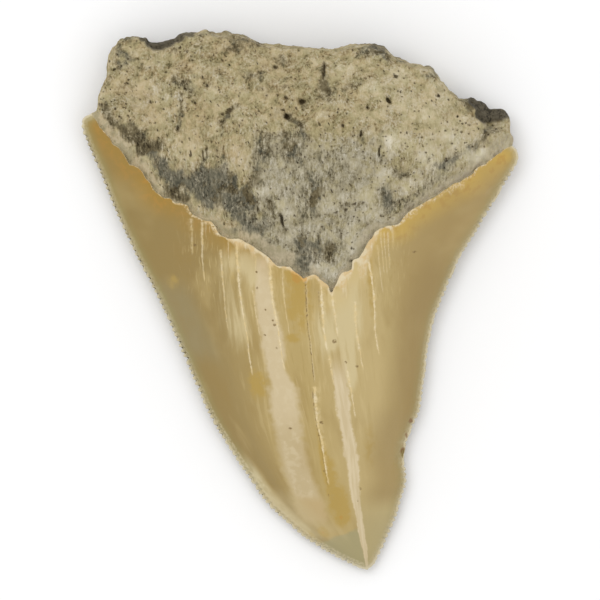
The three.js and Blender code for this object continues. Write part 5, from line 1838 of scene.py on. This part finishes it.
class FOSSIL_OT_tooth(bpy.types.Operator):
    """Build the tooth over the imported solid"""

    bl_idname = "fossil.tooth"
    bl_label = "Fossil Tooth"

    def execute(self, context):
        settings = context.scene.fossil_tooth
        materials = [
            inner_enamel_material(settings), outer_enamel_material(settings), root_material(settings),
        ]
        piece = write_mesh("fossil_tooth", tooth_skin(settings), materials)
        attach(piece, "root")
        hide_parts("tooth")
        return {"FINISHED"}


def area_light(name, place, size, power):
    """A square soft light that looks at the tooth."""
    data = bpy.data.lights.new(name, "AREA")
    data.shape = "SQUARE"
    data.size = size
    data.energy = power
    light = bpy.data.objects.new(name, data)
    light.location = place
    light.rotation_euler = (-light.location).to_track_quat("-Z", "Y").to_euler()
    bpy.context.scene.collection.objects.link(light)


class FOSSIL_OT_stage(bpy.types.Operator):
    """Set the floor, the lights and the camera over the tooth"""

    bl_idname = "fossil.stage"
    bl_label = "Stage"

    def execute(self, context):
        settings = context.scene.fossil_stage
        corners = [(FLOOR_HALF * x, FLOOR_HALF * y, 0) for x, y in ((-1, -1), (1, -1), (1, 1), (-1, 1))]
        mesh = bpy.data.meshes.new("floor")
        mesh.from_pydata(corners, [], [(0, 1, 2, 3)])
        mesh.materials.append(floor_material(settings))
        floor = bpy.data.objects.new("floor", mesh)
        context.scene.collection.objects.link(floor)

        area_light("key_light", *KEY_LIGHT, settings.key_power)
        area_light("fill_light", *FILL_LIGHT, settings.fill_power)
        world = bpy.data.worlds.new("studio")
        world.use_nodes = True
        background = world.node_tree.nodes["Background"]
        background.inputs["Color"].default_value = (1, 1, 1, 1)
        background.inputs["Strength"].default_value = settings.sky_strength
        context.scene.world = world

        data = bpy.data.cameras.new("camera")
        data.lens = data.sensor_width * settings.camera_height / settings.seen_width
        data.clip_start = 0.01
        data.clip_end = 10
        camera = bpy.data.objects.new("camera", data)
        camera.location = (0, 0, settings.camera_height)
        context.scene.collection.objects.link(camera)
        context.scene.camera = camera
        context.scene.view_settings.view_transform = "Standard"
        return {"FINISHED"}


class FOSSIL_PT_panel(bpy.types.Panel):
    """The tooth's settings in the sidebar"""

    bl_label = "Fossil Tooth"
    bl_idname = "FOSSIL_PT_panel"
    bl_space_type = "VIEW_3D"
    bl_region_type = "UI"
    bl_category = "Fossil"

    def draw(self, context):
        layout = self.layout
        for settings, operator in (
            (context.scene.fossil_tooth, FOSSIL_OT_tooth),
            (context.scene.fossil_stage, FOSSIL_OT_stage),
        ):
            box = layout.box()
            for name in settings.bl_rna.properties.keys():
                if name not in {"rna_type", "name"}:
                    box.prop(settings, name)
            box.operator(operator.bl_idname)


CLASSES = (ToothSettings, StageSettings, FOSSIL_OT_tooth, FOSSIL_OT_stage, FOSSIL_PT_panel)


def register():
    for item in CLASSES:
        bpy.utils.register_class(item)
    bpy.types.Scene.fossil_tooth = PointerProperty(type=ToothSettings)
    bpy.types.Scene.fossil_stage = PointerProperty(type=StageSettings)


def unregister():
    del bpy.types.Scene.fossil_stage
    del bpy.types.Scene.fossil_tooth
    for item in reversed(CLASSES):
        bpy.utils.unregister_class(item)


def main():
    register()
    bpy.ops.fossil.tooth()
    bpy.ops.fossil.stage()
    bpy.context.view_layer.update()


if __name__ == "__main__":
    main()
